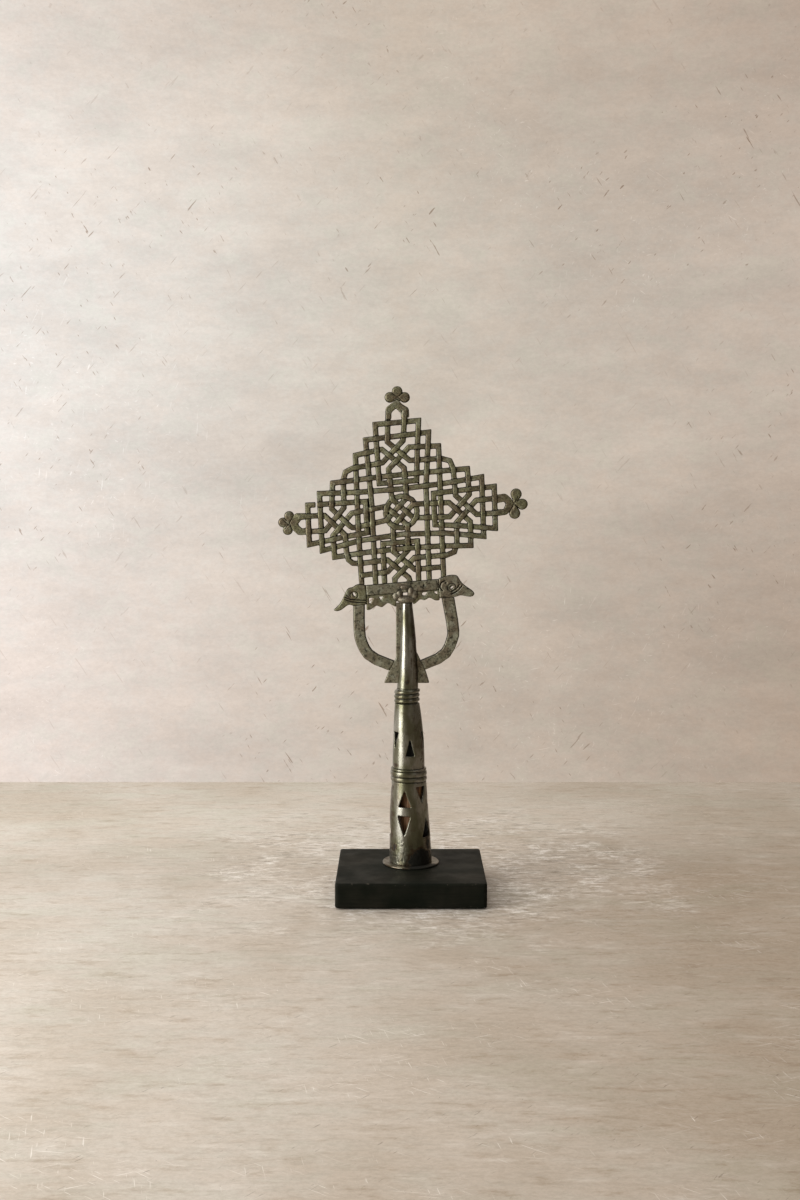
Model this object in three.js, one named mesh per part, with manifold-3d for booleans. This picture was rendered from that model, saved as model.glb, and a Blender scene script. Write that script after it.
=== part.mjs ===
// A processional cross: an interlaced bronze head on a pierced white-metal socket, kept on a small stand.
// Millimetres, Z up. The origin is under the stand, on the axis of the socket. The front faces -Y.

import * as THREE from 'three';
import { mergeVertices } from 'three/addons/utils/BufferGeometryUtils.js';
import Module from 'manifold-3d';

const wasm = await Module();
wasm.setup();

// General fits
const seatGap = 0.3; // between a piece and the neighbour that it is cut to
const rim = 1; // how far a cutting solid runs past what it cuts
const roundSides = 24;
const smallSides = 16;
const wireSides = 5;
const holeSides = 10;
const arcSteps = 5; // steps in each quarter of an outline's round parts
const edgeSteps = 2;
const bendStep = 36; // degrees between the steps of a strand's rounded corner

// Stand
const feltThickness = 1;
const feltInset = 3;
const plinthWidth = 120;
const plinthDepth = 106;
const plinthHeight = 20;
const plinthForward = 9; // the middle of the block lies this far in front of the shaft
const plinthEdge = 1;
const plinthCorner = 2.5;
const dowelDiameter = 20;
const dowelReach = 1.4; // how far the dowel runs up past the lower stage, into the middle collar
const dowelChamfer = 1.5;
const screwDiameter = 4.5;
const screwHeadDiameter = 9;
const screwHeadHeight = 3;
const screwTipLength = 5;
const screwInDowel = 24;
const screwClearance = 0.3;
const counterboreDepth = 4;
const counterboreClearance = 1.2;

// Shaft
const lean = 0.0145; // the shaft leans this much to the left for each millimetre of height
const flangeDiameter = 46.8;
const flangeThickness = 1.5;
const sheetThickness = 1.8;
const waistRise = 0.4; // how far up a stage its sides swell most, as a share of its height
const lowerStageHeight = 68.1;
const lowerStageFoot = 35;
const lowerStageWaist = 33.3;
const lowerStageTop = 28.6;
const middleCollarHeight = 10.7;
const middleCollarDiameter = 30;
const beadDepth = 1.3;
const beadFlat = 0.4; // the flat crest of a bead, as a share of its height
const middleStageHeight = 53.5;
const middleStageFoot = 26.4;
const middleStageWaist = 25.4;
const middleStageTop = 20.2;
const upperCollarHeight = 12.2;
const upperCollarDiameter = 21.2;
const upperCollarSlant = 0.06; // the wire turns climb this much to the right
const collarTurns = 3;
const coneHeight = 70;
const coneFoot = 18;
const coneWaist = 15.3;
const coneTop = 9.4;
const coneFloor = 4.2; // solid height under the slot of the cone
const coneHollow = 48; // depth of the hollow inside the cone

// Heights of the pieces of the shaft, from the stand upwards
const plinthTop = feltThickness + plinthHeight;
const lowerStageBase = plinthTop + flangeThickness;
const middleCollarBase = lowerStageBase + lowerStageHeight;
const middleStageBase = middleCollarBase + middleCollarHeight;
const upperCollarBase = middleStageBase + middleStageHeight;
const coneBase = upperCollarBase + upperCollarHeight;
const shaftTop = coneBase + coneHeight;
const dowelTop = middleCollarBase + dowelReach;
const flareBottom = coneBase + coneFloor + seatGap;

// Rows of piercings: the middle is above the foot of the stage, the stagger lifts those that point down, and
// the turns are degrees from the front to each, spaced unevenly because they were marked out by hand
const lowerPiercingWidth = 11.6;
const middlePiercingWidth = 7.2;
const footRow = { middle: 31.7, height: 17, stagger: 0.7 };
const shoulderRow = { middle: 56.4, height: 13.7, stagger: 1.5 };
const middleRow = { middle: 20.8, height: 15.1, stagger: 2.2 };
const lowerRows = [
  { ...footRow, firstUp: false, turns: [-17, 58, 112, 166, 220, 271] },
  { ...shoulderRow, firstUp: true, turns: [-14.5, 43, 97, 151, 206, 260] },
];
const middleRows = [{ ...middleRow, firstUp: true, turns: [6, 77, 133, 189, 245, 301] }];

// Stem and flare
const stemThickness = 3;
const stemLeft = -11.7;
const stemRight = 1.2;
const flareLeft = -21.4;
const flareRight = 15.1;
const flareSeatLeft = -17.7; // where the foot of the left arm's seat lies
const flareSeatRight = 12.3;
const flareSeatRise = 9.5; // from the bottom of the flare to the foot of the seats
const flareShoulderLeft = 20.5; // from the bottom of the flare to where its slanted sides reach the stem
const flareShoulderRight = 32.5;

// Head
const cell = 9.58; // one cell of the lattice, the unit of every head dimension below this line
const fit = seatGap / cell;
const headAside = -7.1;
const barSeat = 0.935; // from the top of the shaft to the underside of the crossbar
const rowRise = 0.085;
const columnLean = 0.042;
const strandWidth = 0.46;
const strandThickness = 0.42;
const strandDraft = 0.05; // how much each side of a strand slopes in towards the front
const weaveHeight = 0.075; // how far a strand rises over or dips under its neighbour
const cutReach = 3; // how far a cutting block runs past what it cuts
const barTop = -5.95;
const barBottom = -6.8;
const barLeft = -3.32;
const barRight = 2.88;
const barThickness = 0.56;
const headHeight = shaftTop + cell * (barSeat - barBottom);
const castEdge = 0.06; // small chamfer round the flat castings of the head
const finialThickness = 0.5;
const finialEdge = 0.1;
const finialHub = 0.34;
const petalTurn = 86; // degrees between the petals of a finial
const birdFoot = -7.54; // where a bird's neck ends and its arm begins
const birdThickness = 0.58;
const birdGrooveWidth = 0.1;
const birdGrooveDepth = 0.07;
const armThickness = 0.42;
const armDraft = 0.05;
const armRoot = -7.3; // where its line starts, inside the neck
const armSteps = 10;
const fringeTop = barBottom - fit;
const fringeThickness = 0.4;
const grooveSteps = 6;
const brazeThickness = 0.78;
const brazeEdge = 0.13;
const brazeHole = 0.12;
const brazeHoleAside = -0.09;
const brazeHoleDrop = 0.16; // from the underside of the crossbar to the middle of the hole
const brazeTop = [-0.66, 0.49];
const brazeMiddle = [-0.7, 0.51];
const brazeFoot = [-0.76, 0.54];
const ringRadius = 1.34;
const ringAside = 0.13; // the ring's middle lies this far right of the middle knot
const legTenon = 0.2; // how far the legs run down behind the top of the crossbar before they are cut
const knotReach = 1.15; // where the strands of a knot leave for their diagonals
const outerRound = 0.95; // radius of the outer strand's rounded corners
const knotRound = 0.5;
const tipRound = 0.12;
const tipInset = 0.5; // from the middle of a finial back to the end of the strand behind it
const beltBend = 3.6; // where the lines that run across the arms bend
const gridBend = 3.2;
const frameBend = 4.8;
const gridBendLeft = -2.2;
const gridBendRight = 0.8;
const capBend = 5;
const gateBendLeft = 1;
const gateBendRight = 2;
const legBendUpper = -1;
const outerLegs = [-0.83, 0.5]; // where the two legs of the outer strand meet the crossbar
const braidSide = 5; // where the lower braid starts
const curveSteps = 2; // steps between the points of a smooth outline

// Lattice lines: where each lies at its left or top end, at the middle and at its right or bottom end
const lineReach = 7;
const columns = {
  left1: [-2.86, -2.5, -2.5], left2: [-3.67, -3.76, -3.63], left3: [-4.78, -4.81, -4.75],
  left4: [-5.68, -5.8, -5.92], left5: [-6.9, -6.89, -6.84], left6: [-7.93, -7.94, -7.96],
  right1: [2.58, 2.03, 2.12], right2: [3.3, 3.32, 3.3], right3: [4.36, 4.5, 4.5],
  right4: [5.6, 5.7, 5.72], right5: [6.82, 6.84, 6.83], right6: [7.9, 7.86, 7.8],
  capLeft: [-1.93, -1.77, -1.75], capRight: [1.66, 1.25, 1.25],
  leftInner: [-3.1, -3.02, -2.95], rightInner: [2.72, 2.74, 2.78],
  apronLeft: [-1.7, -1.72, -1.72], apronRight: [1.25, 1.22, 1.17],
};
const rows = {
  cap: [7.5, 7.54, 7.6], top5: [6.1, 6.42, 6.62], top4: [5.0, 5.2, 5.4], top3: [3.85, 4.1, 4.22],
  top2: [2.85, 3.15, 3.15], top1: [2.15, 1.95, 2.4], capFoot: [2.6, 2.55, 2.55],
  leftTop: [1.22, 1.1, 1.1], leftBottom: [-1.95, -1.3, -1.3],
  rightTop: [1.3, 1.3, 1.46], rightBottom: [-1.1, -1.1, -1.9],
  low1: [-2.72, -1.88, -2.68], low2: [-3.45, -3.08, -3.45], low3: [-4.15, -4.03, -3.95],
  low4: [-5.2, -5.0, -4.9], apron: [-2.5, -2.55, -2.6],
};
const knots = {
  top: { u: -0.32, v: 4.84, halfU: 0.66, halfV: 0.56 },
  left: { u: -5.4, v: -0.38, halfU: 0.52, halfV: 0.64 },
  right: { u: 5.16, v: -0.14, halfU: 0.58, halfV: 0.6 },
  middle: { u: -0.18, v: 0, halfU: 0.62, halfV: 0.58 },
  bottom: { u: -0.25, v: -4.45, halfU: 0.6, halfV: 0.5 },
};
// Each finial: its middle, where it faces, the radius of its lobes, how far out the middle and side ones lie,
// the shoulders of the pointed loop behind it, and the outline of that loop, open towards the lattice
const finials = {
  top: {
    hub: [0, 9.58], facing: 90, lobe: 0.43, out: 0.53, side: 0.62,
    shoulders: [[-0.8, 8.65], [0.62, 8.55]],
    loop: [[-1, 7.9], [-1, 8.62], [-0.93, 8.85], [-0.6, 9.08], [0, 9.48], [0.38, 9.02], [0.86, 8.68],
      [0.93, 8.5], [0.93, 7.9], [0.27, 7.9], [0.27, 8.3], [-0.14, 8.74], [-0.45, 8.5], [-0.56, 8.33],
      [-0.56, 7.9]],
  },
  left: {
    hub: [-9.58, -0.12], facing: 174, lobe: 0.4, out: 0.5, side: 0.6,
    shoulders: [[-8.8, -0.98], [-8.8, 0.36]],
    loop: [[-8.2, 0.58], [-8.88, 0.65], [-9.08, 0.55], [-9.5, -0.1], [-9.3, -0.68], [-8.95, -1.06],
      [-8.7, -1.2], [-8.2, -1.2], [-8.2, -0.66], [-8.5, -0.68], [-8.88, -0.3], [-8.55, 0.06], [-8.2, 0.08]],
  },
  right: {
    hub: [9.54, -0.1], facing: -4, lobe: 0.45, out: 0.63, side: 0.82,
    shoulders: [[8.7, 0.48], [8.72, -0.76]],
    loop: [[8.12, -1], [8.75, -0.96], [8.95, -0.86], [9.22, -0.5], [9.45, -0.08], [9.25, 0.35],
      [8.88, 0.72], [8.7, 0.8], [8.12, 0.76], [8.12, 0.1], [8.66, 0.15], [8.97, -0.15], [8.65, -0.5],
      [8.12, -0.47]],
  },
};

// Outlines of the flat castings: smooth stretches that meet at corners
const birds = {
  left: {
    outline: [
      [[barLeft, barTop], [-3.6, -5.86], [-3.95, -5.81], [-4.2, -5.88], [-4.45, -6.03], [-4.72, -6.06],
        [-4.93, -6.2], [-5.18, -6.65], [-5.3, -6.92], [-5.5, -7.22], [-5.72, -7.48], [-6.12, -7.8]],
      [[-6.12, -7.8], [-5.85, -7.9], [-5.5, -7.82], [-5.2, -7.62], [-4.9, -7.46], [-4.7, -7.46],
        [-4.53, birdFoot]],
      [[-4.53, birdFoot], [barLeft, birdFoot]],
      [[barLeft, birdFoot], [barLeft, barTop]],
    ],
    eye: [-4.33, -6.62], eyeSize: [0.13, 0.22], eyeTurn: 25,
    grooves: [[[-5.25, -6.72], [-4.6, -7.02], [-3.3, -7.2]], [[-5.2, -6.95], [-4.5, -7.24], [-3.3, -7.42]]],
  },
  right: {
    outline: [
      [[barRight, birdFoot], [barRight, -5.9]],
      [[barRight, -5.9], [3.3, -5.78], [3.7, -5.71], [4.1, -5.7], [4.43, -5.8], [4.6, -6.07], [4.87, -6.5],
        [5.4, -6.95], [5.67, -7.17], [5.84, -7.4]],
      [[5.84, -7.4], [5.72, -7.58], [5.5, -7.62], [5.17, -7.56], [4.88, -7.47], [4.6, -7.44], [4.3, -7.52],
        [4.1, birdFoot]],
      [[4.1, birdFoot], [barRight, birdFoot]],
    ],
    eye: [3.97, -6.73], eyeSize: [0.21, 0.11], eyeTurn: 45,
    grooves: [[[4.85, -6.62], [4.45, -7.05], [3.85, -7.32]], [[4.62, -6.55], [4.3, -6.88], [3.85, -7.08]],
      [[3.42, -6.08], [3.1, -6.22], [2.98, -6.5], [3, -6.76], [3.2, -6.95]]],
  },
};
const fringes = {
  left: {
    outline: [
      [[-0.7, fringeTop], [-3.3, fringeTop]],
      [[-3.3, fringeTop], [-3.32, -8.02]],
      [[-3.32, -8.02], [-3.1, -8.03], [-2.8, -7.9], [-2.47, -7.71], [-2.13, -7.88], [-1.9, -7.82],
        [-1.55, -7.57], [-1.3, -7.68], [-1.1, -7.82], [-0.87, -7.95]],
      [[-0.87, -7.95], [-0.84, -7.68]],
      [[-0.84, -7.68], [-0.7, fringeTop]],
    ],
    holes: [[[-3.13, -7.02], [-3.13, -7.54], [-2.95, -7.54], [-2.7, -7.02]],
      [[-2.3, -6.97], [-2.1, -7.38], [-1.8, -6.97]],
      [[-1.24, -6.92], [-1.05, -7.18], [-0.88, -7.2], [-0.84, -6.92]]],
  },
  right: {
    outline: [
      [[2.86, fringeTop], [0.54, fringeTop]],
      [[0.54, fringeTop], [0.64, -7.86]],
      [[0.64, -7.86], [0.83, -7.8], [1, -7.65], [1.2, -7.51], [1.38, -7.52], [1.55, -7.6], [1.75, -7.54],
        [2, -7.42], [2.25, -7.53], [2.53, -7.7], [2.86, -7.71]],
      [[2.86, -7.71], [2.86, fringeTop]],
    ],
    holes: [[[0.68, -6.92], [0.7, -7.42], [0.78, -7.4], [0.94, -7.05], [0.9, -6.92]],
      [[1.36, -7.05], [1.45, -7.22], [1.65, -7.28], [1.85, -7.05], [1.88, -6.92], [1.48, -6.92]],
      [[2.38, -6.93], [2.5, -7.12], [2.74, -7.29], [2.74, -6.93]]],
  },
};

// Arms: their width at the neck and at the foot, where their line starts, its bends as cells aside and shares
// of its drop, its foot as cells aside and millimetres above the flare's bottom, and the side that it meets
const arms = {
  left: { width: 0.97, footWidth: 0.94, root: -3.97, bends: [[-4.04, 0.393], [-3.89, 0.615], [-3.12, 0.835]],
    foot: [-0.9, 12.2], seat: flareSeatLeft, shoulder: flareShoulderLeft, edge: stemLeft },
  right: { width: 1.06, footWidth: 0.88, root: 3.55, bends: [[3.92, 0.437], [3.8, 0.622], [2.95, 0.842]],
    foot: [0.6, 12.4], seat: flareSeatRight, shoulder: flareShoulderRight, edge: stemRight },
};

// Materials
function finish(color, roughness, metalness) {
  return new THREE.MeshStandardMaterial({ color, roughness, metalness });
}

const bronze = () => finish(0x5f5d46, 0.62, 0.8);
const whiteMetal = () => finish(0x8e8870, 0.34, 0.95);
const ebonised = () => finish(0x1e1e1c, 0.45, 0);
const paleWood = () => finish(0x966e50, 0.7, 0);
const baize = () => finish(0x24382b, 0.95, 0);
const steel = () => finish(0xa8a8a4, 0.35, 1);

// Solids for joining and cutting

function toSolid(geometry) {
  const bare = geometry.clone();
  bare.deleteAttribute('normal');
  bare.deleteAttribute('uv');
  const merged = mergeVertices(bare, 1e-4);
  const mesh = new wasm.Mesh({
    numProp: 3,
    vertProperties: Float32Array.from(merged.attributes.position.array),
    triVerts: Uint32Array.from(merged.index.array),
  });
  mesh.merge();
  return new wasm.Manifold(mesh);
}

function toGeometry(solid) {
  const mesh = solid.getMesh();
  const geometry = new THREE.BufferGeometry();
  geometry.setAttribute('position', new THREE.BufferAttribute(mesh.vertProperties, mesh.numProp));
  geometry.setIndex(new THREE.BufferAttribute(mesh.triVerts, 1));
  const flat = geometry.toNonIndexed();
  flat.computeVertexNormals();
  return flat;
}

const joined = (geometries) => geometries.map(toSolid).reduce((sum, next) => sum.add(next));
const cut = (solid, geometries) => geometries.reduce((rest, next) => rest.subtract(toSolid(next)), solid);

// A revolved piece about the vertical axis, from a profile of [radius, height] pairs
function turned(profile, sides = roundSides) {
  const points = profile.map(([radius, height]) => new THREE.Vector2(radius, height));
  return new THREE.LatheGeometry(points, sides).rotateX(Math.PI / 2);
}

function rod(diameter, from, to, sides = smallSides) {
  const height = to - from;
  return new THREE.CylinderGeometry(diameter / 2, diameter / 2, height, sides)
    .rotateX(Math.PI / 2).translate(0, 0, from + height / 2);
}

// A flat plate standing in the plane of the head, from an outline in that plane
function plate(outline, thickness, edge = 0) {
  const options = { depth: thickness - 2 * edge, bevelEnabled: edge > 0, bevelThickness: edge,
    bevelSize: edge, bevelOffset: -edge, bevelSegments: 1, curveSegments: arcSteps };
  return new THREE.ExtrudeGeometry(outline, options)
    .translate(0, 0, edge - thickness / 2).rotateX(Math.PI / 2);
}

// The plane of the head, from cells to millimetres
const onHead = (u, v) => new THREE.Vector2(
  headAside + cell * (u - columnLean * v), headHeight + cell * (v + rowRise * u));
const atHeight = (u, height) => onHead(u, (height - headHeight) / cell - rowRise * u);
const headOutline = (points) => new THREE.Shape(points.map(([u, v]) => onHead(u, v)));

// Lattice lines
const along = ([start, middle, end], t) => {
  const slope = (end - start) / 2;
  const sag = (end + start) / 2 - middle;
  return middle + slope * t + sag * t * t;
};
const rowAt = (row, u) => along(rows[row], u / lineReach);
const columnAt = (column, v) => along(columns[column], -v / lineReach);

function corner(column, row, round = 0) {
  let v = rowAt(row, 0);
  let u = columnAt(column, v);
  v = rowAt(row, u);
  u = columnAt(column, v);
  return { u, v: rowAt(row, u), round };
}

const onColumn = (column, v) => ({ u: columnAt(column, v), v, round: 0 });
const onRow = (row, u) => ({ u, v: rowAt(row, u), round: knotRound });

// The eight places where strands enter a knot, named by side and by the strand of the pair
function port(name, side) {
  const { u, v, halfU, halfV } = knots[name];
  const places = {
    topLeft: [-halfU, knotReach], topRight: [halfU, knotReach],
    bottomLeft: [-halfU, -knotReach], bottomRight: [halfU, -knotReach],
    leftHigh: [-knotReach, halfV], leftLow: [-knotReach, -halfV],
    rightHigh: [knotReach, halfV], rightLow: [knotReach, -halfV],
  };
  const [du, dv] = places[side];
  return { u: u + du, v: v + dv, round: knotRound };
}

const cross = (name, from, to) => [port(name, from), port(name, to)];

// The line of the strand that runs behind the pointed loop at the end of an arm
function finialLoop(name) {
  const { hub, facing, shoulders } = finials[name];
  const heading = THREE.MathUtils.degToRad(facing);
  const [u, v] = [hub[0] - tipInset * Math.cos(heading), hub[1] - tipInset * Math.sin(heading)];
  const tip = { u, v, round: 0 };
  const [first, last] = shoulders.map(([across, up]) => ({ u: across, v: up, round: tipRound }));
  return [first, tip, last];
}

// Every strand of the lattice, from corner to corner
const legEnd = barTop - legTenon;
const strands = [
  { name: 'outer', closed: false, points: [
    { u: outerLegs[0], v: legEnd, round: 0 }, ...cross('bottom', 'bottomLeft', 'rightHigh'),
    corner('right3', 'low3', outerRound), ...cross('right', 'bottomLeft', 'rightHigh'),
    ...finialLoop('right'), ...cross('right', 'rightLow', 'topLeft'), corner('right3', 'top3', outerRound),
    ...cross('top', 'rightLow', 'topLeft'), ...finialLoop('top'), ...cross('top', 'topRight', 'leftLow'),
    corner('left3', 'top3', outerRound), ...cross('left', 'topRight', 'leftLow'), ...finialLoop('left'),
    ...cross('left', 'leftHigh', 'bottomRight'), corner('left3', 'low3', outerRound),
    ...cross('bottom', 'leftHigh', 'bottomRight'), { u: outerLegs[1], v: legEnd, round: 0 }] },
  { name: 'upper', closed: false, points: [
    onColumn('left2', legEnd), onColumn('left2', legBendUpper), corner('left2', 'top4'),
    ...cross('top', 'leftHigh', 'bottomRight'), ...cross('middle', 'topRight', 'leftLow'),
    ...cross('left', 'rightLow', 'topLeft'), corner('left4', 'top2'), onRow('top2', gridBendLeft),
    onRow('top2', gridBendRight), corner('right4', 'top2'), ...cross('right', 'topRight', 'leftLow'),
    ...cross('middle', 'rightLow', 'topLeft'), ...cross('top', 'bottomLeft', 'rightHigh'),
    corner('right2', 'top4'), onColumn('right2', legEnd)] },
  { name: 'lower', closed: false, points: [
    { u: columnAt('left2', -braidSide), v: rowAt('low4', -beltBend), round: 0 },
    ...cross('bottom', 'leftLow', 'topRight'), ...cross('middle', 'bottomRight', 'leftHigh'),
    ...cross('left', 'rightHigh', 'bottomLeft'), corner('left4', 'low2'), onRow('low2', -gridBend),
    onRow('low2', 0), onRow('low2', gridBend), corner('right4', 'low2'),
    ...cross('right', 'bottomRight', 'leftHigh'), ...cross('middle', 'rightHigh', 'bottomLeft'),
    ...cross('bottom', 'topLeft', 'rightLow'),
    { u: columnAt('right2', -braidSide), v: rowAt('low4', beltBend), round: 0 }] },
  { name: 'gate', closed: false, points: [
    onColumn('left1', legEnd), onColumn('left1', gateBendLeft), corner('left1', 'top5'),
    corner('right1', 'top5'), onColumn('right1', gateBendRight), onColumn('right1', legEnd)] },
  { name: 'belt', closed: true, points: [
    corner('left5', 'top1'), onRow('top1', -beltBend), onRow('top1', 0), onRow('top1', beltBend),
    corner('right5', 'top1'), corner('right5', 'low1'), onRow('low1', beltBend), onRow('low1', 0),
    onRow('low1', -beltBend), corner('left5', 'low1')] },
  { name: 'cap', closed: true, points: [
    corner('capLeft', 'cap'), corner('capRight', 'cap'), onColumn('capRight', capBend),
    corner('capRight', 'capFoot'), corner('capLeft', 'capFoot')] },
  { name: 'leftFrame', closed: true, points: [
    corner('left6', 'leftTop'), corner('leftInner', 'leftTop'), corner('leftInner', 'leftBottom'),
    onRow('leftBottom', -frameBend), corner('left6', 'leftBottom')] },
  { name: 'rightFrame', closed: true, points: [
    corner('rightInner', 'rightTop'), corner('right6', 'rightTop'), corner('right6', 'rightBottom'),
    onRow('rightBottom', frameBend), corner('rightInner', 'rightBottom')] },
  { name: 'apron', closed: false, points: [
    onColumn('apronLeft', legEnd), corner('apronLeft', 'apron'), corner('apronRight', 'apron'),
    onColumn('apronRight', legEnd)] },
  { name: 'ring', closed: true, points: Array.from({ length: smallSides }, (_, i) => {
    const turn = 2 * Math.PI * i / smallSides;
    const aside = knots.middle.u + ringAside;
    return { u: aside + ringRadius * Math.cos(turn), v: ringRadius * Math.sin(turn), round: 0 };
  }) },
];

// The centreline of a strand in millimetres, with its rounded corners turned into short arcs
function route({ points, closed }) {
  const places = points.map(({ u, v, round }) => ({ at: onHead(u, v), round: round * cell }));
  const line = [];
  places.forEach(({ at, round }, i) => {
    const before = places[(i + places.length - 1) % places.length].at;
    const after = places[(i + 1) % places.length].at;
    const end = !closed && (i === 0 || i === places.length - 1);
    if (end || round === 0) {
      line.push(at.clone());
      return;
    }
    const back = before.clone().sub(at);
    const ahead = after.clone().sub(at);
    const bend = Math.PI - back.angleTo(ahead);
    const reach = Math.min(round * Math.tan(bend / 2), back.length() / 2, ahead.length() / 2);
    const steps = Math.max(1, Math.round(bend / THREE.MathUtils.degToRad(bendStep)));
    const from = at.clone().addScaledVector(back.normalize(), reach);
    const to = at.clone().addScaledVector(ahead.normalize(), reach);
    const curve = new THREE.QuadraticBezierCurve(from, at, to);
    line.push(...(steps > 1 ? curve.getPoints(steps) : [at.clone()]));
  });
  return line;
}

// Where two straight stretches cross, as the shares of their lengths
function meeting(a, b, c, d) {
  const ab = b.clone().sub(a);
  const cd = d.clone().sub(c);
  const across = ab.cross(cd);
  if (Math.abs(across) < 1e-9) return null;
  const ac = c.clone().sub(a);
  const t = ac.cross(cd) / across;
  const s = ac.cross(ab) / across;
  return t > 0 && t < 1 && s > 0 && s < 1 ? [t, s] : null;
}

// Finds every crossing and lets each strand pass over and under in turn
function weave(lines) {
  const stretches = lines.flatMap(({ line, closed }, strand) => {
    const count = closed ? line.length : line.length - 1;
    const place = (i) => line[i % line.length];
    return Array.from({ length: count }, (_, i) => ({ strand, i, from: place(i), to: place(i + 1) }));
  });
  const passes = lines.map(() => []);
  stretches.forEach((one, i) => stretches.slice(i + 1).forEach((two) => {
    const hit = meeting(one.from, one.to, two.from, two.to);
    if (!hit) return;
    const first = { at: one.i + hit[0], place: one.from.clone().lerp(one.to, hit[0]) };
    const second = { at: two.i + hit[1], place: first.place };
    first.other = { strand: two.strand, pass: second };
    second.other = { strand: one.strand, pass: first };
    passes[one.strand].push(first);
    passes[two.strand].push(second);
  }));
  passes.forEach((list) => list.sort((p, q) => p.at - q.at));
  const phase = lines.map(() => null);
  phase[0] = 1;
  const waiting = [0];
  while (waiting.length) {
    const strand = waiting.shift();
    passes[strand].forEach((pass, k) => {
      const other = pass.other.strand;
      if (phase[other] !== null) return;
      const m = passes[other].indexOf(pass.other.pass);
      phase[other] = -phase[strand] * (k % 2 ? -1 : 1) * (m % 2 ? -1 : 1);
      waiting.push(other);
    });
  }
  passes.forEach((list, strand) => list.forEach((pass, k) => {
    pass.height = (phase[strand] ?? 1) * (k % 2 ? -1 : 1) * weaveHeight * cell;
  }));
  return passes;
}

// The stations of a strand: its corners and its crossings in order, each with its place, sides and height
function stations({ line, closed }, passes) {
  const corners = line.map((place, i) => ({ at: i, place, height: null }));
  const crossings = passes.map(({ at, place, height }) => ({ at, place, height }));
  const list = [...corners, ...crossings].sort((p, q) => p.at - q.at);
  const known = list.map((station, i) => ({ ...station, i })).filter((station) => station.height !== null);
  const count = list.length;
  const heightAt = (i) => {
    const before = known.filter((k) => k.i < i).at(-1);
    const after = known.find((k) => k.i > i);
    if (closed) {
      const low = before ?? known.at(-1);
      const high = after ?? known[0];
      const from = before ? low.at : low.at - line.length;
      const to = after ? high.at : high.at + line.length;
      return low.height + (high.height - low.height) * (list[i].at - from) / (to - from);
    }
    if (!before || !after) return 0;
    return before.height + (after.height - before.height) * (list[i].at - before.at) / (after.at - before.at);
  };
  return list.map((station, i) => {
    const back = closed || i > 0 ? list[(i + count - 1) % count].place : null;
    const ahead = closed || i < count - 1 ? list[(i + 1) % count].place : null;
    const arriving = back ? station.place.clone().sub(back).normalize() : null;
    const leaving = ahead ? ahead.clone().sub(station.place).normalize() : null;
    const heading = (arriving ?? leaving).clone().add(leaving ?? arriving).normalize();
    const spread = arriving && leaving ? heading.dot(leaving) : 1;
    const side = new THREE.Vector2(heading.y, -heading.x).divideScalar(spread);
    return { place: station.place, side, height: station.height ?? heightAt(i) };
  });
}

// A band of metal swept through its stations, a little narrower in front than behind
function band(list, closed, width, thickness, draft) {
  const w = width / 2;
  const t = thickness / 2;
  const section = [[-w, t], [w, t], [w - draft, -t], [draft - w, -t]];
  const sides = section.length;
  const positions = list.flatMap(({ place, side, height }) => section.flatMap(([across, depth]) => [
    place.x + side.x * across, depth - height, place.y + side.y * across]));
  const index = [];
  const spans = closed ? list.length : list.length - 1;
  for (let i = 0; i < spans; i += 1) {
    const here = i * sides;
    const next = ((i + 1) % list.length) * sides;
    for (let k = 0; k < sides; k += 1) {
      const l = (k + 1) % sides;
      index.push(here + k, next + k, next + l, here + k, next + l, here + l);
    }
  }
  if (!closed) {
    const end = (list.length - 1) * sides;
    for (let k = 1; k < sides - 1; k += 1) {
      index.push(0, k, k + 1);
      index.push(end, end + k + 1, end + k);
    }
  }
  const geometry = new THREE.BufferGeometry();
  geometry.setAttribute('position', new THREE.Float32BufferAttribute(positions, 3));
  geometry.setIndex(index);
  return geometry;
}

function oval(middle, halfWidth, halfHeight, turn) {
  const curve = new THREE.EllipseCurve(middle.x, middle.y, halfWidth, halfHeight, 0, 2 * Math.PI, false,
    THREE.MathUtils.degToRad(turn));
  return new THREE.Shape(curve.getPoints(holeSides).slice(1));
}

const leaning = (geometry) => geometry.translate(0, 0, -plinthTop)
  .applyMatrix4(new THREE.Matrix4().makeShear(0, 0, 0, 0, -lean, 0)).translate(0, 0, plinthTop);

// Stand

function plinthBlock() {
  const w = plinthWidth / 2;
  const d = plinthDepth / 2;
  const r = plinthCorner;
  const outline = new THREE.Shape();
  outline.moveTo(r - w, -d).lineTo(w - r, -d);
  outline.absarc(w - r, r - d, r, -Math.PI / 2, 0).lineTo(w, d - r);
  outline.absarc(w - r, d - r, r, 0, Math.PI / 2).lineTo(r - w, d);
  outline.absarc(r - w, d - r, r, Math.PI / 2, Math.PI).lineTo(-w, r - d);
  outline.absarc(r - w, r - d, r, Math.PI, 1.5 * Math.PI);
  const block = new THREE.ExtrudeGeometry(outline, {
    depth: plinthHeight - 2 * plinthEdge, bevelThickness: plinthEdge, bevelSize: plinthEdge,
    bevelOffset: -plinthEdge, bevelSegments: edgeSteps, curveSegments: edgeSteps,
  }).translate(0, -plinthForward, feltThickness + plinthEdge);
  const bore = rod(screwDiameter + 2 * screwClearance, feltThickness - rim, plinthTop + rim);
  const counterbore = rod(screwHeadDiameter + counterboreClearance, feltThickness - rim,
    feltThickness + counterboreDepth);
  return toGeometry(cut(toSolid(block), [bore, counterbore]));
}

function baseFelt() {
  const inset = plinthEdge + feltInset;
  return new THREE.BoxGeometry(plinthWidth - 2 * inset, plinthDepth - 2 * inset, feltThickness)
    .translate(0, -plinthForward, feltThickness / 2);
}

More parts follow.
